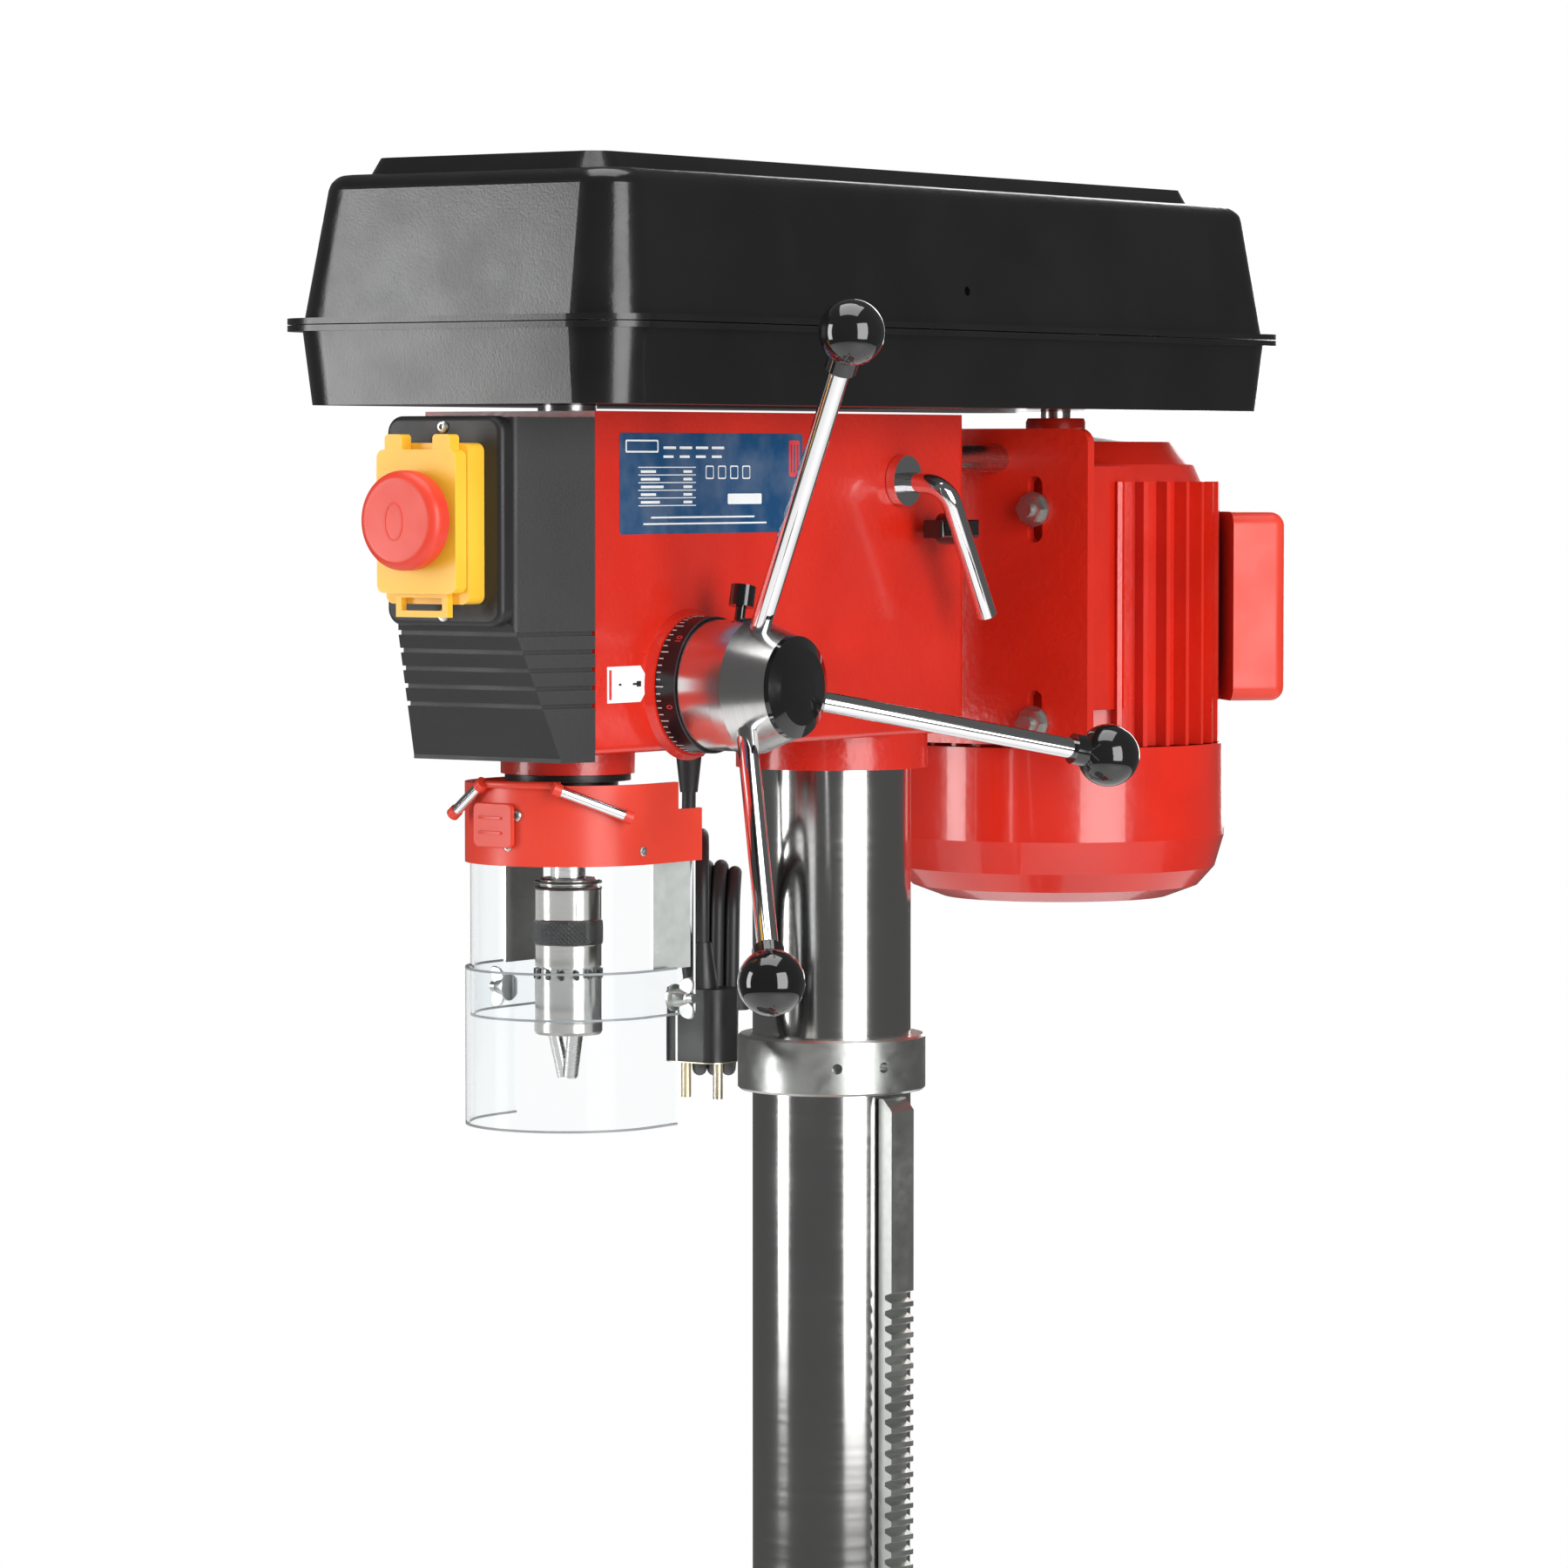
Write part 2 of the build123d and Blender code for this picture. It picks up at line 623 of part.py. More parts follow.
# Feed -------------------------------------------------------------------------------------------
with BuildPart() as pinion_shaft:
    with BuildSketch(side(-15, HUB_Y, HUB_Z)):
        with BuildLine():
            Polyline(*gear_outline(FEED_MODULE, FEED_TEETH, 0.16), close=True)
        make_face()
    extrude(amount=30)
    for x, length, radius in ((-64, 49, 8), (15, 5, 8), (20, 90, 13)):
        with BuildSketch(side(x, HUB_Y, HUB_Z)):
            Circle(radius)
        extrude(amount=length)
save(pinion_shaft, "pinion_shaft")

with BuildPart() as depth_dial:
    add(turned_on_x([(54, 13.4), (65, 13.4), (65, 32.4), (54, 32.4)]))
save(depth_dial, "depth_dial")

ARM_TURNS = (107.7, -12.3, -132.3)
ARM_SPREAD = math.radians(60.3)


def arm_plane(turn):
    """A plane across one feed arm where it leaves the hub, facing out along the arm."""
    around = math.radians(turn)
    out = (math.cos(around), math.sin(around))
    origin = (91.0, HUB_Y + 17.5 * out[0], HUB_Z + 17.5 * out[1])
    along = (math.cos(ARM_SPREAD), out[0] * math.sin(ARM_SPREAD), out[1] * math.sin(ARM_SPREAD))
    return Plane(origin, z_dir=along)


ARM_LENGTH = 178.0
with BuildPart() as feed_hub:
    add(turned_on_x([
        (65.4, 13 + RUN), (65.4, 31), (83.5, 31), (83.5, 32), (90.5, 32), (110.5, 24.4), (110.5, 13 + RUN),
    ]))
    for turn in ARM_TURNS:
        with BuildSketch(arm_plane(turn)):
            Circle(5.0)
        extrude(amount=60, mode=Mode.SUBTRACT)
save(feed_hub, "feed_hub")

with BuildPart() as feed_arms:
    for turn in ARM_TURNS:
        with BuildSketch(arm_plane(turn)):
            Circle(4.95)
        extrude(amount=ARM_LENGTH - 14)
save(feed_arms, "feed_arms")

with BuildPart() as arm_knobs:
    for turn in ARM_TURNS:
        arm = arm_plane(turn)
        with Locations(arm.offset(ARM_LENGTH)):
            Sphere(15.3)
        with BuildSketch(arm.offset(ARM_LENGTH - 20)):
            Circle(7.5)
        extrude(amount=12)
        with BuildSketch(arm.offset(ARM_LENGTH - 21)):
            Circle(5.0)
        extrude(amount=7, mode=Mode.SUBTRACT)
save(arm_knobs, "arm_knobs")

with BuildPart() as hub_cap:
    add(turned_on_x([(110.6, 0), (110.6, 24.4), (113, 24.0), (116, 18), (117.5, 8), (118, 0)]))
save(hub_cap, "hub_cap")

with BuildPart() as dial_lock_screw:
    with BuildSketch(Plane((74.5, HUB_Y, HUB_Z), z_dir=(0, math.cos(1.35), math.sin(1.35))).offset(31.2)):
        Circle(2.5)
    extrude(amount=10)
    with BuildSketch(Plane((74.5, HUB_Y, HUB_Z), z_dir=(0, math.cos(1.35), math.sin(1.35))).offset(38)):
        Circle(6)
    extrude(amount=10)
save(dial_lock_screw, "dial_lock_screw")

with BuildPart() as spring_cap:
    add(turned_on_x([
        (-50.2, 8.5), (-50.2, 30), (-76, 30), (-76, 0), (-74, 0), (-74, 28), (-52.2, 28), (-52.2, 8.5),
    ]))
save(spring_cap, "spring_cap")

with BuildPart() as return_spring:
    with BuildSketch(side(-70, HUB_Y, HUB_Z)):
        for radius in (12, 15, 18, 21, 24):
            Circle(radius + 0.8)
            Circle(radius, mode=Mode.SUBTRACT)
        with Locations((17.5, 0)):
            Rectangle(14, 1.2)
    extrude(amount=14)
save(return_spring, "return_spring")

with BuildPart() as tension_lever:
    lever_start = (44, -13.5, 1458)
    with BuildLine() as lever_path:
        FilletPolyline(lever_start, (78, -13.5, 1456), (78, 24, 1391), radius=12)
    with BuildSketch(Plane(lever_start, z_dir=(1, 0, -0.06))):
        Circle(5)
    sweep(path=lever_path.line)
    with BuildSketch(side(38, -13.5, 1458)):
        Circle(6)
    extrude(amount=14)
    with BuildSketch(side(50.4, -13.5, 1458)):
        Circle(12.5)
    extrude(amount=5)
save(tension_lever, "tension_lever")

with BuildPart() as slide_lock_knob:
    with BuildSketch(side(41, 12, 1434)):
        Circle(4)
    extrude(amount=20)
    with BuildSketch(side(59, 12, 1434)):
        Circle(8)
        Rectangle(34, 9)
    extrude(amount=11.5)
    fillet(slide_lock_knob.faces().sort_by(Axis.X)[-1].edges(), 2)
save(slide_lock_knob, "slide_lock_knob")

# Motor ------------------------------------------------------------------------------------------
PLATE_Y = 110.0
with BuildPart() as motor_plate:
    with BuildSketch(front(PLATE_Y + 6, 0, 1403)):
        RectangleRounded(166, 163, 8)
    extrude(amount=6)
    with BuildSketch(front(PLATE_Y + 12, 0, 1403)):
        with GridLocations(70, 0, 2, 1):
            Rectangle(7, 155)
    extrude(amount=6)
    with BuildSketch(front(PLATE_Y + 20, 0, 1388)):
        with GridLocations(102, 110, 2, 2):
            SlotOverall(34, 9, rotation=90)
    extrude(amount=20, mode=Mode.SUBTRACT)
    with BuildSketch(front(PLATE_Y + 20, 0, BAR_Z)):
        with GridLocations(2 * BAR_X, 0, 2, 1):
            Circle(7.03)
    extrude(amount=30, mode=Mode.SUBTRACT)
save(motor_plate, "motor_plate")

with BuildPart() as slide_bars:
    with BuildSketch(front(PLATE_Y + 5.8, 0, BAR_Z)):
        with GridLocations(2 * BAR_X, 0, 2, 1):
            Circle(7)
    extrude(amount=PLATE_Y + 10)
save(slide_bars, "slide_bars")

with BuildPart() as motor_body:
    add(turned([
        (9, MOTOR_Z0 + 0.2), (MOTOR_R - 8, MOTOR_Z0 + 0.2), (MOTOR_R - 8, MOTOR_Z1), (MOTOR_R - 12, 1466),
        (MOTOR_R - 24, 1478), (30, 1481), (9, 1481), (9, 1472), (52, 1469), (52, MOTOR_Z0 + 10), (9, MOTOR_Z0 + 10),
    ], MOTOR_Y))
    with BuildSketch(level(MOTOR_Z0 + 0.2, MOTOR_Y)):
        for fin in range(36):
            with Locations(Rot(0, 0, 10 * fin + 5) * Pos(MOTOR_R - 6, 0)):
                Rectangle(12, 2.6)
    extrude(amount=MOTOR_Z1 - MOTOR_Z0 - 0.2)
    with BuildSketch(level(MOTOR_Z0 + 20, MOTOR_Y)):
        with GridLocations(102, 0, 2, 1):
            with Locations((0, -52)):
                Rectangle(34, 56)
    extrude(amount=126)
    with BuildSketch(level(1300, PLATE_Y)):
        Rectangle(240, 24.8)
    extrude(amount=200, mode=Mode.SUBTRACT)
save(motor_body, "motor_body")

with BuildPart() as motor_bolts:
    for z in (1333, 1443):
        with BuildSketch(front(PLATE_Y + 5.8, 0, z)):
            with GridLocations(102, 0, 2, 1):
                Circle(4)
        extrude(amount=16)
        with BuildSketch(front(PLATE_Y - 0.2, 0, z)):
            with GridLocations(102, 0, 2, 1):
                Circle(9)
        extrude(amount=1.8)
        with BuildSketch(front(PLATE_Y - 2, 0, z)):
            with GridLocations(102, 0, 2, 1):
                RegularPolygon(7.4, 6)
        extrude(amount=5.5)
save(motor_bolts, "motor_bolts")

with BuildPart() as fan_cover:
    add(turned([
        (24, 1237), (60, 1237), (76, 1243), (85, 1253), (90, 1270), (90, MOTOR_Z0), (87.5, MOTOR_Z0),
        (87.5, 1271), (83, 1255), (75, 1245.6), (60, 1239.8), (24, 1239.8),
    ], MOTOR_Y))
save(fan_cover, "fan_cover")

BOX_OUT = (math.cos(math.radians(45)), math.sin(math.radians(45)))
with BuildPart() as terminal_box:
    box_plane = Plane((0, MOTOR_Y, 1391), x_dir=(-BOX_OUT[1], BOX_OUT[0], 0), z_dir=(*BOX_OUT, 0))
    with BuildSketch(box_plane.offset(MOTOR_R + 0.4)):
        RectangleRounded(80, 100, 8)
    extrude(amount=116 - MOTOR_R)
    fillet(terminal_box.faces().sort_by(Axis(box_plane.origin, box_plane.z_dir))[-1].edges(), 7)
save(terminal_box, "terminal_box")

with BuildPart() as motor_shaft:
    with BuildSketch(level(1246, MOTOR_Y)):
        Circle(8)
    extrude(amount=1548 - 1246)
    with BuildSketch(level(1262, MOTOR_Y)):
        Circle(20)
    extrude(amount=30)
    with BuildSketch(level(1262, MOTOR_Y)):
        with PolarLocations(44, 7):
            Rectangle(58, 3)
    extrude(amount=30)
save(motor_shaft, "motor_shaft")

# Table ------------------------------------------------------------------------------------------
TURN = math.radians(RACK_ANGLE)
RACK_OUT = (math.cos(TURN), math.sin(TURN))


def rack_plane(radius, z=0.0):
    """A plane across the rack's facing direction: first axis along the column's tangent, second +Z."""
    return Plane((radius * RACK_OUT[0], radius * RACK_OUT[1], z), x_dir=(-RACK_OUT[1], RACK_OUT[0], 0),
                 z_dir=(*RACK_OUT, 0))


TABLE_PITCH = math.pi * TABLE_MODULE
RACK_TIP = RACK_IN + RACK_DEPTH
RACK_PITCH_R = RACK_TIP - 0.78 * TABLE_MODULE
CRANK_R = RACK_PITCH_R + TABLE_MODULE * TABLE_TEETH / 2
CRANK_Z = 735.0
CRANK_REACH = 100.0
with BuildPart() as rack:
    with BuildSketch(rack_plane(RACK_IN, (FLANGE_TOP + 1 + RACK_TOP) / 2)):
        Rectangle(RACK_WIDTH, RACK_TOP - FLANGE_TOP - 1)
    extrude(amount=RACK_DEPTH)
    top_edge = rack.faces().sort_by(Axis.Z)[-1].edges().sort_by(Axis((0, 0, 0), (*RACK_OUT, 0)))[-1]
    chamfer(top_edge, 6)
    mouth, floor, deep = rack_gap(TABLE_MODULE)
    tangent = Plane((0, 0, 0), x_dir=(*RACK_OUT, 0), z_dir=(RACK_OUT[1], -RACK_OUT[0], 0))
    lowest = math.ceil((FLANGE_TOP + 25 - CRANK_Z) / TABLE_PITCH)
    highest = math.floor((RACK_TEETH_TOP - CRANK_Z) / TABLE_PITCH)
    with BuildSketch(tangent.offset(-RACK_WIDTH)):
        for count in range(lowest, highest + 1):
            middle = CRANK_Z + count * TABLE_PITCH
            with BuildLine():
                Polyline(
                    (RACK_TIP + 0.5, middle + mouth), (RACK_TIP + 0.5, middle - mouth),
                    (RACK_TIP - deep, middle - floor), (RACK_TIP - deep, middle + floor), close=True,
                )
            make_face()
    extrude(amount=2 * RACK_WIDTH, mode=Mode.SUBTRACT)
save(rack, "rack")

with BuildPart() as table_bracket:
    with BuildSketch(level(BRACKET_Z0)):
        Circle(BRACKET_R)
    extrude(amount=BRACKET_Z1 - BRACKET_Z0)
    with BuildSketch(level(BRACKET_Z0 + 10, -52)):
        Rectangle(70, 44)
    extrude(amount=90)
    with BuildSketch(front(-74, 0, TILT_Z)):
        Circle(40)
    extrude(amount=4)
    with BuildSketch(tangent.offset(-24)):
        with Locations((CRANK_R - 8, CRANK_Z)):
            RectangleRounded(66, 56, 8)
    extrude(amount=48)
    for x in (-30, 30):
        with BuildSketch(level(BRACKET_Z0 + 15, 62, x * 0.6)):
            RectangleRounded(16, 40, 4)
        extrude(amount=80)
    with BuildSketch(level(BRACKET_Z0 - 5)):
        Circle(COLUMN_R + 0.35)
    extrude(amount=130, mode=Mode.SUBTRACT)
    with BuildSketch(level(BRACKET_Z0 - 5, 60)):
        Rectangle(4, 80)
    extrude(amount=130, mode=Mode.SUBTRACT)
    with BuildSketch(rack_plane(30, 735)):
        Rectangle(RACK_WIDTH + 1, 200)
    extrude(amount=RACK_TIP + 0.6 - 30, mode=Mode.SUBTRACT)
    with BuildSketch(tangent.offset(-10)):
        with Locations((CRANK_R, CRANK_Z)):
            Circle(18.5)
    extrude(amount=20, mode=Mode.SUBTRACT)
    with BuildSketch(tangent.offset(-50)):
        with Locations((CRANK_R, CRANK_Z)):
            Circle(7 + RUN)
    extrude(amount=100, mode=Mode.SUBTRACT)
    with BuildSketch(front(-30, 0, TILT_Z)):
        Circle(8 + RUN)
    extrude(amount=60, mode=Mode.SUBTRACT)
    with BuildSketch(side(-60, 70, 735)):
        Circle(5 + RUN)
    extrude(amount=120, mode=Mode.SUBTRACT)
save(table_bracket, "table_bracket")

with BuildPart() as table_crank:
    with BuildSketch(tangent.offset(-8)):
        with BuildLine():
            Polyline(*gear_outline(TABLE_MODULE, TABLE_TEETH, 0.2, (CRANK_R, CRANK_Z)), close=True)
        make_face()
    extrude(amount=16)
    with BuildSketch(tangent.offset(-CRANK_REACH)):
        with Locations((CRANK_R, CRANK_Z)):
            Circle(7)
    extrude(amount=CRANK_REACH + 20)
    with BuildSketch(tangent.offset(-CRANK_REACH)):
        with Locations((CRANK_R + 50, CRANK_Z)):
            SlotOverall(128, 22)
    extrude(amount=8)
    with BuildSketch(tangent.offset(-CRANK_REACH - 8)):
        with Locations((CRANK_R + 100, CRANK_Z)):
            Circle(5)
    extrude(amount=10)
    with BuildSketch(tangent.offset(-CRANK_REACH - 78)):
        with Locations((CRANK_R + 100, CRANK_Z)):
            Circle(11)
    extrude(amount=70)
save(table_crank, "table_crank")

with BuildPart() as column_clamp_handle:
    with BuildSketch(side(-66, 70, 735)):
        Circle(5)
    extrude(amount=96)
    with BuildSketch(side(-78, 70, 735)):
        Circle(10)
    extrude(amount=14)
    with BuildSketch(Plane((-72, 70, 735), z_dir=(-0.35, 0.75, -0.56))):
        Circle(5)
    extrude(amount=95)
save(column_clamp_handle, "column_clamp_handle")

HUB_R = 30.0
with BuildPart() as table_arm:
    with BuildSketch(front(-78.4, 0, TILT_Z)):
        Circle(40)
    extrude(amount=20)
    with BuildSketch(level(TILT_Z - 26, -150)):
        Rectangle(46, 110)
    extrude(amount=44)
    with BuildSketch(level(TILT_Z - 30, SPINDLE_Y)):
        Circle(HUB_R)
    extrude(amount=66)
    with BuildSketch(level(TILT_Z - 40, SPINDLE_Y)):
        Circle(16 + RUN)
    extrude(amount=90, mode=Mode.SUBTRACT)
    with BuildSketch(front(-50, 0, TILT_Z)):
        Circle(8)
    extrude(amount=30)
save(table_arm, "table_arm")

with BuildPart() as table:
    add(turned([
        (11, TABLE_TOP), (TABLE_R, TABLE_TOP), (TABLE_R, TABLE_TOP - 22), (TABLE_R - 8, TABLE_TOP - 22),
        (TABLE_R - 8, TABLE_TOP - 12), (40, TABLE_TOP - 14), (34, TABLE_TOP - 36), (16, TABLE_TOP - 36),
        (16, TILT_Z - 40), (11, TILT_Z - 40),
    ], SPINDLE_Y))
    with BuildSketch(level(TABLE_TOP - 40, SPINDLE_Y)):
        with PolarLocations(88, 4, start_angle=45):
            SlotOverall(70, 14)
    extrude(amount=60, mode=Mode.SUBTRACT)
save(table, "table")

# Mains cord -------------------------------------------------------------------------------------
# The hank's turns lie in an upright plane. Places on it are given as (across, along, height): across the
# stack of turns, along the turns' own plane, and above the floor.
CORD_TURN = math.radians(35)
CORD_ACROSS = (math.cos(CORD_TURN), math.sin(CORD_TURN))
CORD_ALONG = (-math.sin(CORD_TURN), math.cos(CORD_TURN))
HANK_ACROSS = -56.5
HANK_ALONG = -60.0
HANK_LOW = 1162.0
HANK_HIGH = 1272.0
HANK_WIDTH = 70.0


def cord_point(across, along, height):
    """A point of the cord's route in the part's own frame."""
    u, v = HANK_ACROSS + across, HANK_ALONG + along
    return (u * CORD_ACROSS[0] + v * CORD_ALONG[0], u * CORD_ACROSS[1] + v * CORD_ALONG[1], height)


GLAND = cord_point(-15, 21, 1303)
with BuildPart() as cord_gland:
    with BuildSketch(level(1321, GLAND[1], GLAND[0])):
        RegularPolygon(8.5, 6)
    extrude(amount=9.8)
    with BuildSketch(level(1303, GLAND[1], GLAND[0])):
        Circle(4.4)
    with BuildSketch(level(1321, GLAND[1], GLAND[0])):
        Circle(6.4)
    loft()
save(cord_gland, "cord_gland")

HANK_THICK = 31.0
HANK_START = cord_point(-19, 0, (HANK_LOW + HANK_HIGH) / 2)
with BuildPart() as cord_hank:
    with BuildSketch(Plane(HANK_START, x_dir=(0, 0, 1), z_dir=(*CORD_ACROSS, 0))):
        SlotOverall(HANK_HIGH - HANK_LOW, HANK_WIDTH)
    extrude(amount=HANK_THICK)
    fillet(cord_hank.edges(), 6)
save(cord_hank, "cord_hank")

TAIL_ROUTE = (
    (-7.5, 28.2, 1232), (-7.5, 28.2, 1256), (-7.5, 12, 1280), (-7.5, -17, 1285), (-7.5, -44, 1277),
    (-7.5, -56.5, 1254), (-7.5, -56.5, 1234),
)
TAIL = [cord_point(*place) for place in TAIL_ROUTE]


def arc_radii(points):
    """The largest even radius for each corner: 0.45 of its shorter run over the tangent of half its turn."""
    radii = []
    for before, corner, after in zip(points, points[1:], points[2:]):
        into = Vector(*corner) - Vector(*before)
        away = Vector(*after) - Vector(*corner)
        half_turn = math.radians(into.get_angle(away)) / 2
        radii.append(0.45 * min(into.length, away.length) / math.tan(half_turn))
    return radii


TAIL_RADII = arc_radii(TAIL)
print("cord tail radii", [round(radius, 1) for radius in TAIL_RADII])
with BuildPart() as mains_cord:
    with BuildSketch(level(1262, GLAND[1], GLAND[0])):
        Circle(CORD_D / 2)
    extrude(amount=1303 - 1262)
    with BuildLine() as tail_path:
        FilletPolyline(*TAIL, radius=TAIL_RADII)
    with BuildSketch(level(TAIL[0][2], TAIL[0][1], TAIL[0][0])):
        Circle(CORD_D / 2)
    sweep(path=tail_path.line)
save(mains_cord, "mains_cord")
tail_length = tail_path.wire().length
tail_volume = math.pi * CORD_D ** 2 / 4 * tail_length
tail_solid = mains_cord.part.solids().sort_by(SortBy.VOLUME)[-1]
print("cord tail length", round(tail_length, 1), "volume over section times length",
      round(tail_solid.volume / tail_volume, 4))

PLUG_TOP = 1234.0
with BuildPart() as mains_plug:
    with BuildSketch(level(PLUG_TOP - 22, TAIL[-1][1], TAIL[-1][0])):
        Circle(8)
    with BuildSketch(level(PLUG_TOP, TAIL[-1][1], TAIL[-1][0])):
        Circle(4.6)
    loft()
    with BuildSketch(level(PLUG_TOP - 58, TAIL[-1][1], TAIL[-1][0])):
        RectangleRounded(34, 24, 8)
    extrude(amount=36)
    with BuildSketch(level(PLUG_TOP - 76, TAIL[-1][1], TAIL[-1][0])):
        with GridLocations(19, 0, 2, 1):
            Circle(2.4)
    extrude(amount=18)
save(mains_plug, "mains_plug")
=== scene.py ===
# %% [markdown]
# A floor-standing drill press, dressed round its CAD frame. The frame brings every solid at its real size,
# and this lesson adds what a CAD model leaves out: finishes, screws, marks, a knurl, the label and the
# mains lead.
# %% Load the frame
import json
import math
import bmesh
import bpy
import numpy as np
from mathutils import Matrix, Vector


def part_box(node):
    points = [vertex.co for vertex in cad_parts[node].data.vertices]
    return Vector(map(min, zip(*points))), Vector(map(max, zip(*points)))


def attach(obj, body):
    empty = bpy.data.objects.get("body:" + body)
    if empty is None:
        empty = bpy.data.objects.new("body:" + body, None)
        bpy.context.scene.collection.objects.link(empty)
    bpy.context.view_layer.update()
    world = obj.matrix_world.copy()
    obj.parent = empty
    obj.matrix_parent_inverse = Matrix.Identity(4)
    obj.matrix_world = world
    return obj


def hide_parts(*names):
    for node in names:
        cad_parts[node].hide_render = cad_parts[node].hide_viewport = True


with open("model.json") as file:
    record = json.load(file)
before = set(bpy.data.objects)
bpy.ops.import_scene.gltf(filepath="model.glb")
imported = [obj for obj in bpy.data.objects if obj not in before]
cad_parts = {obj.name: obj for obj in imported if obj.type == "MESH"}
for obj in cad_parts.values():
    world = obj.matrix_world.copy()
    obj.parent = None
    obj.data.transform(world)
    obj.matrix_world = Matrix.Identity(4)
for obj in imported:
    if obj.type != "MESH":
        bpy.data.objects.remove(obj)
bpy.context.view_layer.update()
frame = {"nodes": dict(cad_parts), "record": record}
MM = 0.001

# %% [markdown]
# The camera stands where an operator's right shoulder would be, a little above the feed hub. A long lens
# keeps the belt case's long side nearly parallel, so the camera is turned and tipped a little and its shift
# stays 0.
# %% Camera
scene = bpy.context.scene
scene.view_settings.view_transform = "Standard"
camera_data = bpy.data.cameras.new("camera")
camera = bpy.data.objects.new("camera", camera_data)
scene.collection.objects.link(camera)
camera_data.lens = 140.0
camera_data.sensor_width = 36.0
camera_data.clip_end = 60.0
camera.location = (1.7441, -2.5328, 1.467)
camera.rotation_euler = (math.radians(90 - 3.017), 0.0, math.radians(35))
scene.camera = camera

# %% [markdown]
# The mains lead is 7 mm black rubber. It drops out of the gland under the head, is wound into a small
# upright coil in two layers, and comes over the top to its plug. The coil stands edge-on to the operator. A
# stadium, two half circles joined by straight runs, is what a hand makes of spare lead, so each turn
# follows that shape and creeps sideways by a little more than the lead's own width. The inner layer goes
# one way and the outer comes back over it, because a lead that starts inside can leave only from the
# outside.
# %% Mains lead
CORD_D = 7.0
CORD_TURN = math.radians(35)
HANK_PLACE = (-56.5, -60.0)
HANK_LOW_CENTRE, HANK_HIGH_CENTRE = 1197.0, 1237.0
HANK_RADII = (24.8, 31.2)
HANK_PITCH = 7.15
LAYER_TURNS = 2.75
POINTS_A_TURN = 12
ENTRY = [(-15, 21, 1303), (-15, 21, 1287), (-17.5, 18, 1267), (-19, 4, 1250), (-17.5, -13, 1238)]
TAIL = [
    (-10.5, 30.5, 1250), (-9.5, 13, 1280), (-8, -17, 1285), (-7.5, -44, 1277), (-7.5, -56.5, 1254),
    (-7.5, -56.5, 1234),
]


def cord_place(points):
    """Places (across, along, height) by the coil, turned into the part's own frame."""
    across, along, height = np.asarray(points, float).T
    u, v = across + HANK_PLACE[0], along + HANK_PLACE[1]
    cos, sin = math.cos(CORD_TURN), math.sin(CORD_TURN)
    return np.stack([u * cos - v * sin, u * sin + v * cos, height], axis=1)


def coil_points():
    """Turn t: angle 180 degrees + 360 t, radius by its layer, and across by its distance from the middle."""
    count = int(2 * LAYER_TURNS * POINTS_A_TURN)
    turns = (np.arange(count) + 0.5) / POINTS_A_TURN
    angle = math.pi + 2 * math.pi * turns
    layer = np.clip((turns - LAYER_TURNS) / 0.5 + 0.5, 0, 1)
    radius = HANK_RADII[0] + (HANK_RADII[1] - HANK_RADII[0]) * layer
    across = -11.3 + HANK_PITCH * (LAYER_TURNS - np.abs(turns - LAYER_TURNS))
    centre = np.where(np.sin(angle) > 0, HANK_HIGH_CENTRE, HANK_LOW_CENTRE)
    return np.stack([across, radius * np.cos(angle), centre + radius * np.sin(angle)], axis=1)


def nurbs_cord(name, points, radius):
    """A round cord on one open quadratic NURBS spline, whose control points are these, in millimetres.
    Its thickness is kept in the points, because a curve's box grows by their radius."""
    curve = bpy.data.curves.new(name, "CURVE")
    curve.dimensions = "3D"
    spline = curve.splines.new("NURBS")
    spline.points.add(len(points) - 1)
    spline.points.foreach_set("co", np.column_stack([points * MM, np.ones(len(points))]).ravel())
    spline.points.foreach_set("radius", np.full(len(points), radius * MM))
    spline.order_u = 3
    spline.use_endpoint_u = True
    spline.resolution_u = 8
    curve.bevel_depth = 1.0
    curve.bevel_resolution = 5
    curve.use_fill_caps = True
    made = bpy.data.objects.new(name, curve)
    scene.collection.objects.link(made)
    return made


lead_points = cord_place(np.concatenate([ENTRY, coil_points(), TAIL]))
lead = nurbs_cord("mains_lead", lead_points, CORD_D / 2)
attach(lead, "frame")
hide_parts("mains_cord", "cord_hank")
print("lead: control points", len(lead_points))

# %% [markdown]
# Small parts are surfaces worked out on a grid: every shape below is a function of two parameters, computed
# as whole arrays. A grid gives clean quads, and the same few helpers make screws, rods, decals and marks.
# Poles are rows of one repeated point, which are merged at the end, when the faces are also turned to look
# outwards.
# %% Surface helpers
def unit(vector):
    """A vector over its own length."""
    vector = np.asarray(vector, float)
    return vector / np.linalg.norm(vector)


def grid_faces(rows, columns, wrap=True):
    """Quads between neighbours of a grid of points numbered row by row, its columns closed into rings."""
    row = np.arange(rows - 1)[:, None]
    column = np.arange(columns if wrap else columns - 1)[None, :]
    beside = (column + 1) % columns
    near, far = row * columns, (row + 1) * columns
    return np.stack([near + column, near + beside, far + beside, far + column], axis=-1).reshape(-1, 4)


def across_axes(axis):
    """Two directions square to an axis and to each other."""
    axis = unit(axis)
    helper = np.array([0, 0, 1.0]) if abs(axis[2]) < 0.9 else np.array([0, 1.0, 0])
    first = unit(np.cross(helper, axis))
    return first, np.cross(axis, first)


